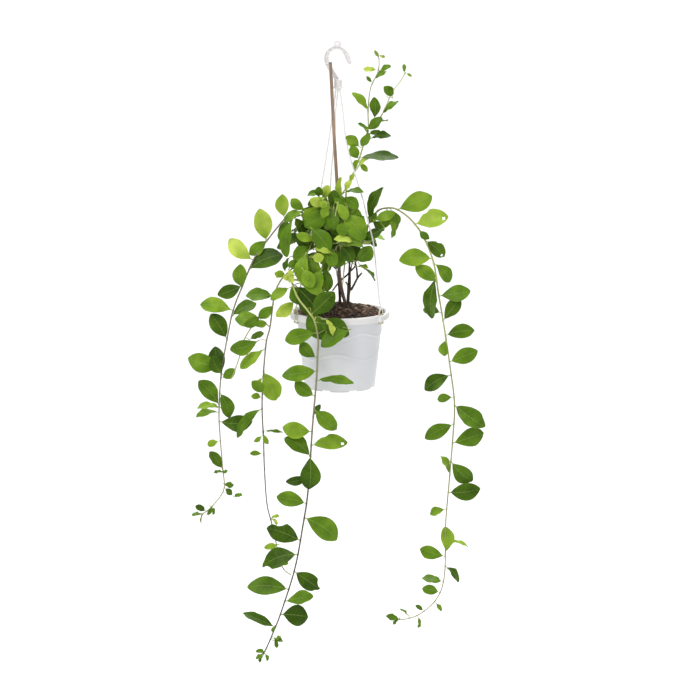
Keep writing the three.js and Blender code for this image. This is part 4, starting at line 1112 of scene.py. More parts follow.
def seen_leaf(row, random):
    """A leaf from its foot, its tip as seen from the front, the width that shows and its tone."""
    x, y, z, tip_x, tip_z, width, tone = row
    way = np.array((tip_x - x, -8.0, tip_z - z), float)
    reach = float(np.linalg.norm(way))
    along = way / reach
    length = reach + 4
    front = np.array((0.0, -1.0, 0.0))
    face = unit(front - along * (front @ along))
    lift = np.cross(along, face)
    share = 1.1 * width / (WIDTH * length)
    roll = math.acos(min(1.0, share)) * (1 if lift[2] >= 0 else -1) + random.uniform(-0.3, 0.3)
    face = face * math.cos(roll) + lift * math.sin(roll)
    return {"foot": np.array((x, y, z), float) - along * 4, "along": along, "face": face, "length": length,
            "bend": random.uniform(0.45, 1.15), "fold": random.uniform(0.12, 0.38), "tone": tone,
            "kind": int(random.integers(2)), "breadth": max(0.78, min(share, 1.12))}


def anchor_of(shape):
    """The end of the limb that a short shoot starts from."""
    starts = [np.array(place, float) for place in ANCHORS]
    return min(starts, key=lambda spot: abs(np.linalg.norm(shape[0] - spot, axis=1).min() - TWIG - 0.3))


def crown_line(shape, leaves):
    """A short shoot's line: from its limb through the feet of its leaves."""
    start = anchor_of(shape)
    feet = sorted((leaf["foot"] for leaf in leaves), key=lambda foot: np.linalg.norm(foot - start))
    kept = [start]
    for foot in feet:
        if np.linalg.norm(foot - kept[-1]) > 5:
            kept.append(foot)
    end = kept[-1] + unit(kept[-1] - kept[-2]) * 3
    spots, share = paced(spline([*kept, end]), 2.0)
    return [spots[6:], 1.4 - 0.5 * share[6:], 0.55 - 0.35 * share[6:]]


def crown_foot(shape, leaves):
    """The woody start of a short shoot."""
    return paced(spline([anchor_of(shape), crown_line(shape, leaves)[0][0]]), 2.0)[0]


def leaf_points(name, leaves, slot, random):
    """A mesh of one point per leaf with all that shapes it."""
    mesh = make_mesh(name, [leaf["foot"] * MM for leaf in leaves])
    for label in ("along", "face"):
        set_values(mesh, label, [leaf[label] for leaf in leaves], "FLOAT_VECTOR")
    set_values(mesh, "length", [leaf["length"] * MM for leaf in leaves])
    for label in ("bend", "fold"):
        set_values(mesh, label, [leaf[label] for leaf in leaves])
    set_values(mesh, "breadth", [leaf.get("breadth", 1.0) * random.uniform(*BROADER) for leaf in leaves])
    set_values(mesh, "sway", [random.uniform(-SWAY, SWAY) for _ in leaves])
    set_values(mesh, "twist", [random.uniform(-TWIST, TWIST) for _ in leaves])
    set_values(mesh, "phase", [random.random() for _ in leaves])
    set_values(mesh, "tone", [leaf.get("tone", tone_of(leaf, slot, random)) for leaf in leaves])
    kinds = [leaf.get("kind", int(random.choice(len(BITES), p=BLADE_SHARES))) for leaf in leaves]
    set_values(mesh, "kind", np.array(kinds, np.int32), "INT")
    return add_object(name, mesh)


class Finish(Nodes):
    """A material with one Principled shader and helpers for its patterns."""

    def __init__(self, name, fixed=()):
        self.material = bpy.data.materials.new(name)
        self.material.use_nodes = True
        self.tree = self.material.node_tree
        self.shader = self.tree.nodes["Principled BSDF"]
        for label, value in dict(fixed).items():
            self.shader.inputs[label].default_value = value

    def attribute(self, label, output="Fac"):
        return self.out("ShaderNodeAttribute", output=output, attribute_name=label)

    def place(self):
        return self.out("ShaderNodeTexCoord", output="Object")

    def noise(self, scale, detail=3.0, stretch=None):
        where = self.place().stretched(stretch) if stretch else self.place()
        return self.out("ShaderNodeTexNoise", {"Vector": where, "Scale": scale, "Detail": detail}, "Fac")

    def ramp(self, field, stops):
        """Colours laid along a field between 0 and 1."""
        node = self.add("ShaderNodeValToRGB", {"Fac": field})
        while len(node.color_ramp.elements) < len(stops):
            node.color_ramp.elements.new(0.5)
        for element, (place, colour) in zip(node.color_ramp.elements, stops):
            element.position = place
            element.color = (*colour, 1.0)
        return Field(self.tree, node.outputs["Color"])

    def mix(self, share, one, other):
        """One colour blended into another by a share."""
        node = self.add("ShaderNodeMix", data_type="RGBA")
        feed(self.tree, node.inputs[0], share)
        for place, value in ((6, one), (7, other)):
            feed(self.tree, node.inputs[place], value if isinstance(value, Field) else (*value, 1.0))
        return Field(self.tree, node.outputs[2])

    def bump(self, height, strength, distance):
        """Fine relief in the shading."""
        node = self.add("ShaderNodeBump", {"Height": height, "Strength": strength, "Distance": distance})
        feed(self.tree, self.shader.inputs["Normal"], node.outputs[0])

    def set(self, label, value):
        feed(self.tree, self.shader.inputs[label], value)


def shade(colour, factor):
    """A colour made darker or lighter."""
    return tuple(channel * factor for channel in colour)


def leaf_finish():
    """Glossy blade with a pale midrib, curved side veins, a lighter underside, and uneven greens that are
    partly painted shade and painted highlight.
    """
    greens = bpy.context.scene.creeper_leaf
    finish = Finish("leaf", {"Specular IOR Level": 0.14})
    x, y, layer = finish.attribute("blade", "Vector").parts()
    tone = finish.attribute("tone")
    # Patches of lighter and darker green across each blade: partly the leaf's own uneven colour, partly
    # painted shade and painted highlight
    patches = finish.noise(38.0, 2.0) - 0.5
    speckle = finish.noise(420.0, 2.0) - 0.5
    reach = x.abs()
    level = tone + patches * 0.6 + speckle * 0.08 + reach * 0.35 - 0.04
    colour = finish.ramp(level, [
        (0.0, greens.deep), (0.4, greens.middle), (0.72, greens.light), (1.0, greens.young)])
    rib = reach.between(0.004, 0.013, 1.0, 0.0) * y.between(0.55, 1.0, 1.0, 0.25)
    curve = y - reach * 1.1 + reach * reach * 0.8
    veins = (curve * 44.0 + reach * 3.0).cos().between(0.9, 1.0) * reach.between(0.01, 0.2, 1.0, 0.0)
    colour = finish.mix(rib * 0.24, colour, RIB_GREEN)
    colour = finish.mix(veins * 0.14, colour, VEIN_GREEN)
    under = layer.between(-0.2, 0.2, 1.0, 0.0)
    colour = finish.mix(under * 0.45, colour, UNDER_GREEN)
    stalk = y.between(-0.1, 0.03, 1.0, 0.0)
    colour = finish.mix(stalk * 0.8, colour, STALK_GREEN)
    scorch = (finish.noise(75.0, 4.0) + reach * 0.5).between(0.74, 0.8) * 0.16
    finish.set("Base Color", finish.mix(scorch, colour, SCORCH))
    finish.set("Roughness", finish.noise(160.0, 3.0).between(0.3, 0.7, 0.34, 0.5) + under * 0.18)
    height = rib * -0.8 - veins * 0.35 + speckle * 0.25
    finish.bump(height, 0.35, 0.0006)
    return finish.material


def stem_finish():
    """Soft green to dry brown along a stem, with lenticels."""
    colours = bpy.context.scene.creeper_stem
    finish = Finish("stem")
    woody = finish.attribute("woody")
    flecks = finish.noise(900.0, 3.0, stretch=(1.0, 1.0, 0.4))
    level = woody + (finish.noise(110.0) - 0.5) * 0.35
    colour = finish.ramp(level, [
        (0.0, colours.green), (0.4, RIPENING), (0.7, colours.brown), (1.0, shade(colours.brown, 0.3))])
    finish.set("Base Color", finish.mix(flecks.between(0.6, 0.7) * 0.4, colour, LENTICEL))
    finish.set("Roughness", flecks.between(0.2, 0.8, 0.45, 0.7))
    finish.bump(flecks, 0.4, 0.0003)
    return finish.material


def bark_finish():
    """Dark grey-brown bark with fine long furrows and pale flecks."""
    bark = bpy.context.scene.creeper_stem.bark
    finish = Finish("bark")
    furrows = finish.noise(520.0, 5.0, stretch=(1.0, 1.0, 0.22))
    patches = finish.noise(90.0, 3.0)
    colour = finish.ramp(furrows, [(0.3, shade(bark, 0.35)), (0.5, bark), (0.72, BARK_RIDGE)])
    finish.set("Base Color", finish.mix(patches.between(0.55, 0.75) * 0.4, colour, BARK_FLECK))
    finish.set("Roughness", furrows.between(0.3, 0.7, 0.75, 0.95))
    finish.bump(furrows, 0.8, 0.0008)
    return finish.material


def cane_finish():
    """Dry cane: light brown above, purplish brown below, with long fibres and weather marks."""
    colours = bpy.context.scene.creeper_stem
    finish = Finish("cane")
    place = finish.place()
    height = place.parts()[2]
    fibres = finish.noise(900.0, 4.0, stretch=(1.0, 1.0, 0.03))
    blotches = finish.noise(28.0, 3.0, stretch=(1.0, 1.0, 0.5))
    level = height.between(*CANE_CHANGE) + (blotches - 0.5) * 0.35
    top = colours.cane_top
    foot = colours.cane_foot
    colour = finish.ramp(level, [(0.0, foot), (0.45, CANE_MIDDLE), (0.85, top), (1.0, shade(top, 0.8))])
    dark = finish.mix(fibres.between(0.35, 0.65) * 0.45, colour, shade(foot, 0.7))
    finish.set("Base Color", finish.mix(height.between(*CUT_CHANGE) * 0.6, dark, CANE_CUT))
    finish.set("Roughness", fibres.between(0.3, 0.7, 0.42, 0.62))
    finish.bump(fibres, 0.5, 0.0004)
    return finish.material


def pot_finish():
    """White moulded plastic, satin, with a warmer band, fine grain, a darker and warmer tint in blotches
    towards the foot, and painted shade along the foot's bottom edge.
    """
    white = bpy.context.scene.creeper_pot.colour
    finish = Finish("pot plastic", {
        "Subsurface Weight": 0.15, "Subsurface Scale": 0.004, "Subsurface Radius": (1.0, 1.0, 1.0)})
    clouds = finish.noise(14.0, 3.0)
    grain = finish.noise(2600.0, 2.0)
    height = finish.place().parts()[2]
    colour = finish.mix(clouds.between(0.35, 0.65) * 0.5, white, shade(white, 0.955))
    # A darker, warmer tint in blotches that grows towards the foot
    foot_tint = finish.noise(60.0, 5.0).between(0.5, 0.8) * height.between(*FOOT_TINT_CHANGE, 0.35, 0.05)
    colour = finish.mix(height.between(*BAND_CHANGE) * 0.7, colour, BAND_WHITE)
    # Painted shade: a grey-brown line along the bottom edge of the feet
    colour = finish.mix(height.between(*FOOT_SHADE_CHANGE, 0.55, 0.0), colour, FOOT_PAINTED_SHADE)
    finish.set("Base Color", finish.mix(foot_tint, colour, FOOT_TINT))
    finish.set("Roughness", clouds.between(0.3, 0.7, 0.36, 0.46) + (grain - 0.5) * 0.1)
    finish.bump(grain, 0.12, 0.00015)
    return finish.material


def hanger_finish():
    """Milky, half clear plastic with flow marks, creamier where it clips to the pot."""
    tint = bpy.context.scene.creeper_pot.hanger
    finish = Finish("hanger plastic", {
        "Transmission Weight": 0.12, "IOR": 1.46, "Subsurface Weight": 0.2, "Subsurface Scale": 0.002,
        "Subsurface Radius": (1.0, 1.0, 1.0)})
    flow = finish.noise(190.0, 3.0, stretch=(1.0, 1.0, 0.3))
    clip = finish.place().parts()[2].between(*CLIP_CHANGE, 1.0, 0.0)
    clouded = finish.mix(flow.between(0.35, 0.65), tint, shade(tint, 0.94))
    finish.set("Base Color", finish.mix(clip, clouded, CLIP_CREAM))
    finish.set("Roughness", flow.between(0.3, 0.7, 0.22, 0.36))
    finish.bump(flow, 0.15, 0.0003)
    return finish.material


def mix_finish():
    """Bark crumbs in dark, reddish and tan browns."""
    colours = bpy.context.scene.creeper_mix
    finish = Finish("bark mix")
    crumb = finish.attribute("crumb")
    fibres = finish.noise(650.0, 4.0, stretch=(1.0, 0.4, 1.0))
    level = crumb + (fibres - 0.5) * 0.45
    colour = finish.ramp(level, [
        (0.0, colours.dark), (0.45, colours.red), (0.8, shade(colours.red, 1.7)), (1.0, colours.tan)])
    finish.set("Base Color", colour)
    finish.set("Roughness", fibres.between(0.3, 0.7, 0.7, 0.95))
    finish.bump(fibres, 0.7, 0.0006)
    return finish.material


def revolved(name, rows, segments, shape=None, axis=(POT_AXIS, 0.0)):
    """A solid turned about an upright axis, from rows of radius and height in mm.

    The first and last rows lie on the axis, or the rows close on themselves. Shape may
    change a row's radius and height at an angle.
    """
    closed = rows[0][0] > 0
    points, faces = [], []
    count = len(rows)
    for radius, height in rows:
        for k in range(segments):
            angle = 2 * math.pi * k / segments
            r, z = shape(radius, height, angle) if shape else (radius, height)
            x, y = axis[0] + r * math.cos(angle), axis[1] + r * math.sin(angle)
            points.append((x * MM, y * MM, z * MM))
    for j in range(count if closed else count - 1):
        nxt = (j + 1) % count
        for k in range(segments):
            a, b = j * segments + k, j * segments + (k + 1) % segments
            faces.append((a, b, nxt * segments + (k + 1) % segments, nxt * segments + k))
    return add_object(name, outward(make_mesh(name, points, faces), 0.002 * MM))


def pot_rows():
    """The pot's profile from the axis under its floor, up the outside and down the inside."""
    skirt = FOOT - WALL
    heights = np.linspace(POT_BASE + 0.5, BAND_BASE - 3, WALL_STEPS + 1)
    return [
        (0, FLOOR_Z), (skirt, FLOOR_Z), (skirt, POT_BASE + 0.5), (skirt + 0.5, POT_BASE),
        (FOOT - 0.5, POT_BASE), *zip(np.linspace(FOOT, WALL_TOP, WALL_STEPS + 1), heights),
        (WALL_TOP + 0.6, BAND_BASE - 1.8), (WALL_TOP + 2.4, BAND_BASE - 1.1), (BAND - 1.8, BAND_BASE - 0.7),
        (BAND - 0.6, BAND_BASE - 0.2), (BAND, BAND_BASE + 0.9), (BAND, BAND_BASE + 4.5),
        (BAND - 0.2, BAND_BASE + 5), (BAND, BAND_BASE + 5.5), (BAND, RIM_Z - 1.3), (BAND - 0.3, RIM_Z - 0.4),
        (BAND - 1.1, RIM_Z), (MOUTH + 0.7, RIM_Z), (MOUTH, RIM_Z - 0.6), (MOUTH - 1.5, RIM_Z - 5),
        (WALL_TOP + 0.1 - WALL, BAND_BASE - 6),
        (skirt + 0.8, FLOOR_Z + 3.6), (skirt - 0.2, FLOOR_Z + 3), (0, FLOOR_Z + 3),
    ]


def pot_shape(relief):
    """Arches between the feet, and two moulded waves around the wall."""
    def shape(radius, height, angle):
        turn = (math.degrees(angle) + 90) % FOOT_TURN - FOOT_TURN / 2
        off = abs(math.radians(turn)) * (FOOT - WALL / 2) / ARCH_REACH
        if height < POT_BASE + 0.6 and off < 1:
            height += ARCH_RISE * math.sqrt(1 - off * off)
        if radius > FOOT - 0.2 and POT_BASE + 6 < height < BAND_BASE - 6:
            for level, swing, waves, start in WAVES:
                line = level + swing * math.sin(waves * angle + start)
                radius += relief / MM * math.exp(-((height - line) / 1.6) ** 2)
                radius -= 0.45 * relief / MM * math.exp(-((height - line + 3.4) / 2.2) ** 2)
        return radius, height
    return shape


def ring_tree():
    """Copies of one item around an upright axis."""
    tree = Tree("Ring of Copies", [("Count", "Int"), ("First Angle", "Float"), ("Finish", "Material")])
    count = tree.given("Count")
    spots = tree.out("GeometryNodePoints", {"Count": count, "Position": (0.0, 0.0, 0.0)})
    index = tree.out("GeometryNodeInputIndex")
    angle = tree.given("First Angle") + index * (2 * math.pi) / count
    turn = tree.out("FunctionNodeEulerToRotation", {
        "Euler": tree.out("ShaderNodeCombineXYZ", {"Z": angle})})
    copies = tree.out("GeometryNodeInstanceOnPoints", {
        "Points": spots, "Instance": tree.given("Geometry"), "Rotation": turn})
    return tree.finish(tree.dressed(tree.realized(copies)))


def block(name, low, high, bevel):
    """A block between two corners in mm, with rounded edges."""
    shape = bmesh.new()
    bmesh.ops.create_cube(shape, size=1.0)
    low, high = np.array(low), np.array(high)
    for v in shape.verts:
        v.co = Vector((low + (high - low) * (np.array(v.co) + 0.5)) * MM)
    bmesh.ops.bevel(shape, geom=shape.edges[:], offset=bevel * MM, segments=3, affect="EDGES", profile=0.5)
    mesh = bpy.data.meshes.new(name)
    shape.to_mesh(mesh)
    shape.free()
    return add_object(name, mesh)


def ringed(obj, tree, count, first, finish):
    """Copies of an object around the pot's axis. Its place is given from that axis."""
    name = obj.name + "_ring"
    ring = grown(obj, tree, name, count=count, first_angle=math.radians(first), finish=finish)
    ring.data.transform(Matrix.Translation((POT_AXIS * MM, 0, 0)))
    return ring


class CREEPER_OT_pot(bpy.types.Operator):
    """Make the hanging pot with its band, lugs, feet and drain holes"""
    bl_idname = "creeper.pot"
    bl_label = "Pot"

    def execute(self, context):
        settings = context.scene.creeper_pot
        finish = pot_finish()
        tree = ring_tree()
        pot = revolved("pot_shell", pot_rows(), settings.segments, pot_shape(settings.relief))
        lug = block("lug", *LUG, 1.6)
        slot = block("slot", *SLOT, 1.2)
        hole = revolved("hole", DRAIN_HOLE, 32, axis=(DRAIN_CIRCLE, 0))
        first = LUG_ANGLES["back"]
        pot = fused(pot, [ringed(lug, tree, 3, first, finish)])
        cuts = [ringed(slot, tree, 3, first, finish), ringed(hole, tree, 6, 0, finish)]
        pot = fused(pot, cuts, "DIFFERENCE")
        coated(pot, "hanging_pot", finish)
        soften(pot, 32)
        placed(pot, "pot")
        return {"FINISHED"}


def mix_height(x, y, radius):
    """Height of the mound of mix: it falls towards the wall and has soft lumps."""
    lumps = math.sin(0.31 * x + 1.3) * math.cos(0.27 * y) + math.sin(0.17 * (x + y))
    return MIX_TOP - MIX_FALL * (radius / MOUTH) ** 2 + MIX_LUMPS * lumps


def crumb_object(name, random):
    """An angular bark crumb about two units long."""
    shape = bmesh.new()
    bmesh.ops.create_icosphere(shape, subdivisions=1, radius=1.0)
    size = np.array((1.0, random.uniform(0.55, 0.85), random.uniform(0.35, 0.6)))
    for v in shape.verts:
        v.co = Vector(np.array(v.co) * size * random.uniform(0.75, 1.2))
    bmesh.ops.bevel(shape, geom=shape.edges[:], offset=0.07, segments=1, affect="EDGES", profile=0.5)
    mesh = bpy.data.meshes.new(name)
    shape.to_mesh(mesh)
    shape.free()
    return bpy.data.objects.new(name, mesh)


def crumb_tree():
    """Crumbs scattered over the upward faces of a mound."""
    tree = Tree("Bark Crumbs", [
        ("Crumbs", "Collection"), ("Spacing", "Float"), ("Size", "Float"), ("Seed", "Int"),
        ("Finish", "Material")])
    mound = tree.given("Geometry")
    spots = tree.out("GeometryNodeDistributePointsOnFaces", {
        "Mesh": mound, "Selection": tree.out("GeometryNodeInputNormal").parts()[2].above(0.6),
        "Distance Min": tree.given("Spacing"), "Density Max": MOST_CRUMBS, "Seed": tree.given("Seed")},
        distribute_method="POISSON")
    turn = tree.out("FunctionNodeEulerToRotation", {
        "Euler": tree.chance((-0.7, -0.7, 0.0), (0.7, 0.7, 6.28), 0.0, "FLOAT_VECTOR")})
    kinds = tree.out("GeometryNodeCollectionInfo", {
        "Collection": tree.given("Crumbs"), "Separate Children": True, "Reset Children": True})
    copies = tree.out("GeometryNodeInstanceOnPoints", {
        "Points": spots, "Instance": kinds, "Pick Instance": True, "Rotation": turn,
        "Scale": tree.chance(0.55, 1.35, 1.0) * tree.given("Size")})
    toned = tree.out("GeometryNodeStoreNamedAttribute", {
        "Geometry": copies, "Name": "crumb", "Value": tree.chance(0.0, 1.0, 2.0)},
        data_type="FLOAT", domain="INSTANCE")
    return tree.finish(tree.dressed(tree.realized(tree.joined(mound, toned))))


class CREEPER_OT_mix(bpy.types.Operator):
    """Make the mound of potting mix and scatter its bark crumbs"""
    bl_idname = "creeper.mix"
    bl_label = "Potting Mix"

    def execute(self, context):
        settings = context.scene.creeper_mix
        random = np.random.default_rng(settings.seed)

        def mound(radius, height, angle):
            """Lays the top of the base just under the crumbs."""
            if height < MIX_EDGE:
                return radius, height
            x, y = radius * math.cos(angle), radius * math.sin(angle)
            return radius, mix_height(x, y, radius) - MIX_COVER

        rows = [(0, FLOOR_Z + 3.3), (FOOT - WALL, FLOOR_Z + 3.3), *MIX_SIDE]
        rows += [(radius, 0) for radius in MIX_RINGS]
        base = revolved("mound", rows, 72, mound)
        crumbs = bpy.data.collections.new("Crumbs")
        for i in range(CRUMB_KINDS):
            crumbs.objects.link(crumb_object(f"crumb_{i}", random))
        mix = grown(base, crumb_tree(), "bark_mix", crumbs=crumbs, spacing=settings.spacing,
                    size=settings.crumb, seed=settings.seed, finish=mix_finish())
        drop(*crumbs.objects)
        bpy.data.collections.remove(crumbs)
        soften(mix, 25)
        placed(mix, "potting_mix")
        return {"FINISHED"}


def hook_strip():
    """The hook's strip: an I-section along its line, with ribs across its two channels."""
    line = spline(HOOK_LINE, 12)
    ahead = np.gradient(line[:, :2], axis=0)
    ahead /= np.linalg.norm(ahead, axis=1)[:, None]
    run = np.concatenate([[0], np.cumsum(np.linalg.norm(np.diff(line[:, :2], axis=0), axis=1))])
    points, faces = [], []
    for k, (x, z, half) in enumerate(line):
        web = WEBS[2] if k < 2 else WEBS[1] if run[k] % RIB_STEP < RIB else WEBS[0]
        lip = half - LIP
        corner = [(half, STRIP_HALF - LIP_EASE), (half - LIP_EASE, STRIP_HALF), (lip, STRIP_HALF), (lip, web)]
        section = corner + [(-w, y) for w, y in reversed(corner)]
        section += [(-w, -y) for w, y in corner] + [(w, -y) for w, y in reversed(corner)]
        for w, y in section:
            points.append(((x - ahead[k][1] * w) * MM, y * MM, (z + ahead[k][0] * w) * MM))
    count = len(section)
    for k in range(len(line) - 1):
        for i in range(count):
            a, b = k * count + i, k * count + (i + 1) % count
            faces.append((a, b, b + count, a + count))
    faces.append(tuple(range(count)))
    faces.append(tuple(reversed(range((len(line) - 1) * count, len(line) * count))))
    return add_object("strip", outward(make_mesh("strip", points, faces)))


class CREEPER_OT_hook(bpy.types.Operator):
    """Make the hook with its ear, collar and flange"""
    bl_idname = "creeper.hook"
    bl_label = "Hook"

    def execute(self, context):
        ear = revolved("ear", EAR, 40, axis=(0, 0))
        ear.data.transform(Matrix.Rotation(math.pi / 2, 4, "X"))
        ear.data.transform(Matrix.Translation([c * MM for c in EAR_PLACE]))
        collar = revolved("collar", COLLAR, 48, axis=(0, 0))
        hook = fused(hook_strip(), [ear, collar])
        coated(hook, "hook", hanger_finish())
        soften(hook, 30)
        placed(hook, "hanger_hook")
        return {"FINISHED"}


def strand_lines(side):
    """A strand's peg and run, the two legs of its stirrup, and the bar under its lug, in mm."""
    angle = math.radians(LUG_ANGLES[side])
    out = np.array((math.cos(angle), math.sin(angle), 0.0))
    across = np.array((-out[1], out[0], 0.0))
    peg = out * SOCKET_CIRCLE
    lug = out * LUG_CIRCLE + np.array((POT_AXIS, 0, 0))

    def at(base, z, sideways=0.0):
        """A point at a height, moved sideways from the base."""
        return np.array((base[0] + across[0] * sideways, base[1] + across[1] * sideways, z))

    lines = [[at(peg, PEG_TOP), at(peg, PEG_END), *STRAND_ROUTES[side], at(lug, RUN_END)]]
    for sign in (-1, 1):
        lines.append([at(lug, z, sign * off) for z, off in STIRRUP_LEG])
    lines.append([at(lug, STIRRUP_LEG[-1][0], sign * BAR_HALF) for sign in (-1, 1)])
    return lines


class CREEPER_OT_strands(bpy.types.Operator):
    """Make the three strands with their stirrups"""
    bl_idname = "creeper.strands"
    bl_label = "Strands"

    def execute(self, context):
        tree = tube_tree()
        finish = hanger_finish()
        for side in STRAND_ROUTES:
            tubes = []
            for i, rows in enumerate(strand_lines(side)):
                radius = STIRRUP_RADIUS if i else RUN_RADIUS
                wire = line_object(f"wire_{side}_{i}", [(paced(spline(rows), 3.0)[0], radius, 0.0)])
                tubes.append(grown(wire, tree, f"tube_{side}_{i}", sides=14, relief=0.0, relief_scale=1.0,
                                   finish=finish))
            strand = fused(tubes[0], tubes[1:])
            coated(strand, f"strand_{side}", finish)
            soften(strand, 40)
            placed(strand, f"hanger_strand_{side}")
        return {"FINISHED"}


class CREEPER_OT_cane(bpy.types.Operator):
    """Make the cane that holds the plant up"""
    bl_idname = "creeper.cane"
    bl_label = "Cane"

    def execute(self, context):
        spots, share = paced(spline(STAKE_ROUTE), 3.0)
        down = share * CANE_LENGTH
        joints = sum(JOINT * np.exp(-((down - place) / JOINT_REACH) ** 2) for place in CANE_JOINTS)
        wire = line_object("cane_wire", [(spots, CANE_RADIUS + CANE_GAIN * share + joints, 1.0)])
        cane = grown(wire, tube_tree(), "cane", sides=24, relief=0.0005, relief_scale=240.0,
                     finish=cane_finish())
        soften(cane, 45)
        placed(cane, "stake")
        return {"FINISHED"}


def shoot_lines(name):
    """Each stem of a long shoot as dense points in mm, with its radii and woodiness."""
    lines = []
    for i, (route, radii, ripe) in enumerate(SHOOTS[name]):
        start = TWIG - 1 if i == 0 else 0
        spots, share = paced(spline(route), 2.5, start)
        widths = radii[0] + (radii[1] - radii[0]) * share
        lines.append([spots, widths, np.interp(share, *zip(*ripe))])
    return lines


def swollen(lines, leaves):
    """Stems with a small knee at the foot of each leaf."""
    for line in lines:
        for leaf in leaves:
            gap = np.linalg.norm(line[0] - leaf["foot"], axis=1)
            line[1] = line[1] + KNEE * np.exp(-(gap / KNEE_REACH) ** 2)
    return lines


def twig_between(start, end, thick=0.95):
    """A thin twig that arches over from a stem to a leaf's foot."""
    reach = np.linalg.norm(end - start)
    middle = (start + end) / 2 + np.array((0, 0, 0.15 * reach))
    spots, share = paced(spline([start, middle, end]), 2.0)
    return [spots, thick * (1 - 0.37 * share), 0.4 - 0.25 * share]


class CREEPER_OT_foliage(bpy.types.Operator):
    """Make the leafy vines and the crown's shoots"""
    bl_idname = "creeper.foliage"
    bl_label = "Foliage"

    def execute(self, context):
        names = sorted(n for n in frame["nodes"] if n in SHOOTS or n.startswith("crown_shoot"))
        slots = {part["node"]: part["material_slot"] for part in frame["record"]["subparts"]}
        shapes = {name: node_shape(name) for name in names}
        leaves = {name: leaves_of(name, shapes[name]) for name in names}
        trailing = [name for name in names if name in SHOOTS]
        crown = [name for name in names if name not in SHOOTS]
        lines = {name: shoot_lines(name) for name in trailing}
        lines.update({name: [crown_line(shapes[name], leaves[name])] for name in crown})
        self.dress_crown(crown, leaves, lines, context.scene.creeper_leaf.extra)
        random = np.random.default_rng(VINE_SEED)
        for name in trailing:
            whole = np.vstack([paced(spline(route), 0.5)[0] for route, _, _ in SHOOTS[name]])
            self.add_by_hand(name, leaves, lines, whole, random)
            for leaf in leaves[name]:
                if "tone" not in leaf:
                    slim = name == "upright_shoot" or leaf["length"] < SMALL_LEAF
                    leaf["breadth"] = SLIM if slim else 1.0
                    shape_by_tip(leaf)
                    leaf["foot"] = nearest(whole, leaf["foot"])
        self.grow(context, names, slots, leaves, lines)
        return {"FINISHED"}

    @staticmethod
    def add_by_hand(name, leaves, lines, whole, random):
        """Lays a long shoot's listed leaves, each on a thin twig where it sits off the stem."""
        shown = [seen_leaf(row, random) for row in HAND_LEAVES[name]]
        leaves[name] = [leaf for leaf in leaves[name] if not ends_with(leaf, shown)] + shown
        for leaf in shown:
            start = nearest(whole, leaf["foot"])
            if np.linalg.norm(leaf["foot"] - start) > FOOT_GAP:
                lines[name].append(twig_between(start, leaf["foot"], 0.6))

    @staticmethod
    def dress_crown(crown, leaves, lines, extra):
        """Lays the leaves seen on the crown's front, thins those behind them and fills its back."""
        random = np.random.default_rng(CROWN_SEED)
        shown = [seen_leaf(row, random) for row in CROWN_LEAVES]
        taken = [samples(leaf) for leaf in shown]
        runs = {name: lines[name][0][0] for name in crown}
        for name in crown:
            kept = []
            for leaf in leaves[name]:
                dots = samples(leaf)
                clear = least_gap(dots, taken) >= FRONT_GAP
                if clear and dots[:, 1].min() > FRONT_LIMIT and not hides_limbs(dots):
                    kept.append(leaf)
            leaves[name] = kept
            taken += [samples(leaf) for leaf in kept]
        for name in crown:
            heads = np.gradient(runs[name], axis=0)
            added = 0
            for _ in range(extra * TRIES):
                k = int(random.integers(min(8, len(heads) - 2), len(heads)))
                leaf = crown_leaf(runs[name][k].copy(), unit(heads[k]), random)
                dots = samples(leaf)
                inside = in_crown(dots) and dots[:, 1].min() > BACK_LIMIT and not hides_limbs(dots)
                if inside and least_gap(dots, taken) > BACK_GAP:
                    leaves[name].append(leaf)
                    taken.append(dots)
                    added += 1
                if added == extra:
                    break
        for leaf in shown:
            foot = leaf["foot"]
            near = min(crown, key=lambda name: np.linalg.norm(runs[name] - foot, axis=1).min())
            lines[near].append(twig_between(nearest(runs[near], foot), foot))
            leaves[near].append(leaf)

    @staticmethod
    def grow(context, names, slots, leaves, lines):
        """Makes one piece of each shoot's leaves and stems."""
        settings = context.scene.creeper_leaf
        tree, leaf, stem = leafy_tree(), leaf_finish(), stem_finish()
        blades = bpy.data.collections.new("Blades")
        for name in BITES:
            blades.objects.link(blade_object(name))
        for order, name in enumerate(names):
            random = np.random.default_rng(SHOOT_SEED + order)
            points = leaf_points(name + "_feet", leaves[name], slots[name], random)
            wires = line_object(name + "_wire", swollen(lines[name], leaves[name]))
            piece = grown(points, tree, name + "_leaves", blades=blades, stems=wires,
                          sides=context.scene.creeper_stem.sides, thickness=settings.thickness,
                          petiole=settings.petiole, margin_wave=settings.margin_wave,
                          leaf_finish=leaf, stem_finish=stem)
            drop(wires)
            soften(piece, 50)
            placed(piece, name)
        drop(*blades.objects)
        bpy.data.collections.remove(blades)


class CREEPER_OT_limbs(bpy.types.Operator):
    """Make the woody limbs, with the foot of every shoot"""
    bl_idname = "creeper.limbs"
    bl_label = "Woody Limbs"

    def execute(self, context):
        settings = context.scene.creeper_stem
        lines = []
        for points, radii in LIMBS:
            spots, share = paced(spline(points), 1.5)
            lines.append((spots, BARK_SHARE * (radii[0] + (radii[1] - radii[0]) * share), 1.0))
        for shoot in SHOOTS.values():
            route, radii, _ = shoot[0]
            spots, _ = paced(spline(route), 1.5, 0, TWIG)
            lines.append((spots, radii[0], 1.0))
        for name in sorted(frame["nodes"]):
            if name.startswith("crown_shoot"):
                shape = node_shape(name)
                lines.append((crown_foot(shape, leaves_of(name, shape)), 1.5, 1.0))
        wire = line_object("limb_wire", lines)
        limbs = grown(wire, tube_tree(), "woody_limbs", sides=14, relief=settings.bark_relief * 2,
                      relief_scale=330.0, finish=bark_finish())
        soften(limbs, 60)
        placed(limbs, "woody_stems")
        return {"FINISHED"}


def area_light(name, place, target, size, energy):
    """A square lamp that is aimed at a target."""
    light = bpy.data.lights.new(name, "AREA")
    light.size = size
    light.energy = energy
    obj = add_object(name, light)
    obj.location = place
    obj.rotation_euler = (Vector(target) - Vector(place)).to_track_quat("-Z", "Y").to_euler()


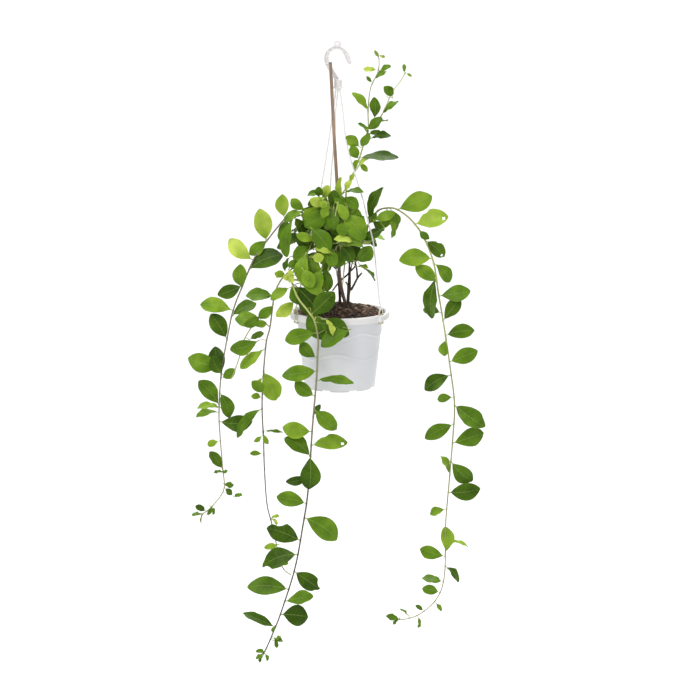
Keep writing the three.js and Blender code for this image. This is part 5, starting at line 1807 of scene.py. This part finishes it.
class CREEPER_OT_stage(bpy.types.Operator):
    """Make the floor with its backdrop, the lights and the camera"""
    bl_idname = "creeper.stage"
    bl_label = "Stage"

    def execute(self, context):
        settings = context.scene.creeper_stage
        base = settings.floor_height
        profile = [(-HALL, base), (RISE_START, base)]
        profile += [(RISE_START + RISE_RADIUS * math.sin(a), base + RISE_RADIUS * (1 - math.cos(a)))
                    for a in np.linspace(0.1, math.pi / 2, 14)]
        profile.append((RISE_START + RISE_RADIUS, HALL_TOP))
        points = [(x, y, z) for x in (-HALL, HALL) for y, z in profile]
        count = len(profile)
        faces = [(k, k + count, k + count + 1, k + 1) for k in range(count - 1)]
        floor = add_object("floor", make_mesh("floor", points, faces))
        floor.data.shade_smooth()
        finish = Finish("floor")
        pale = settings.floor
        finish.set("Base Color", finish.mix(finish.noise(2.0), pale, shade(pale, 0.985)))
        finish.set("Roughness", 0.9)
        floor.data.materials.append(finish.material)

        for name, values in LIGHTS.items():
            area_light(name, *values)
        world = bpy.data.worlds.new("room")
        world.use_nodes = True
        light = world.node_tree.nodes["Background"]
        light.inputs["Color"].default_value = (1.0, 1.0, 1.0, 1.0)
        light.inputs["Strength"].default_value = settings.sky
        context.scene.world = world
        context.scene.view_settings.view_transform = "Standard"

        camera = bpy.data.cameras.new("camera")
        camera.sensor_width = 36
        camera.lens = CAMERA_LENS
        camera.clip_end = 50
        holder = add_object("camera", camera)
        holder.location = CAMERA_PLACE
        holder.rotation_euler = (math.radians(CAMERA_TILT), 0, 0)
        context.scene.camera = holder
        return {"FINISHED"}


MAKERS = (CREEPER_OT_pot, CREEPER_OT_mix, CREEPER_OT_hook, CREEPER_OT_strands, CREEPER_OT_cane,
          CREEPER_OT_limbs, CREEPER_OT_foliage, CREEPER_OT_stage)
SETTINGS = {"creeper_leaf": LeafSettings, "creeper_stem": StemSettings, "creeper_pot": PotSettings,
            "creeper_mix": MixSettings, "creeper_stage": StageSettings}


class CREEPER_PT_panel(bpy.types.Panel):
    """Settings and makers of the plant's pieces"""
    bl_idname = "CREEPER_PT_panel"
    bl_label = "Potted Creeper"
    bl_space_type = "VIEW_3D"
    bl_region_type = "UI"
    bl_category = "Creeper"

    def draw(self, context):
        for label, group in SETTINGS.items():
            box = self.layout.box()
            for key in group.__annotations__:
                box.prop(getattr(context.scene, label), key)
        for maker in MAKERS:
            self.layout.operator(maker.bl_idname)


def register():
    """Adds the settings, makers and panel."""
    for group in SETTINGS.values():
        bpy.utils.register_class(group)
    for cls in (*MAKERS, CREEPER_PT_panel):
        bpy.utils.register_class(cls)
    for label, group in SETTINGS.items():
        setattr(bpy.types.Scene, label, bpy.props.PointerProperty(type=group))


def unregister():
    """Takes the settings, makers and panel away."""
    for label in SETTINGS:
        delattr(bpy.types.Scene, label)
    for cls in (CREEPER_PT_panel, *reversed(MAKERS)):
        bpy.utils.unregister_class(cls)
    for group in SETTINGS.values():
        bpy.utils.unregister_class(group)


def main():
    """Makes all the pieces."""
    register()
    for maker in MAKERS:
        getattr(bpy.ops.creeper, maker.bl_idname.split(".")[1])()


if __name__ == "__main__":
    main()
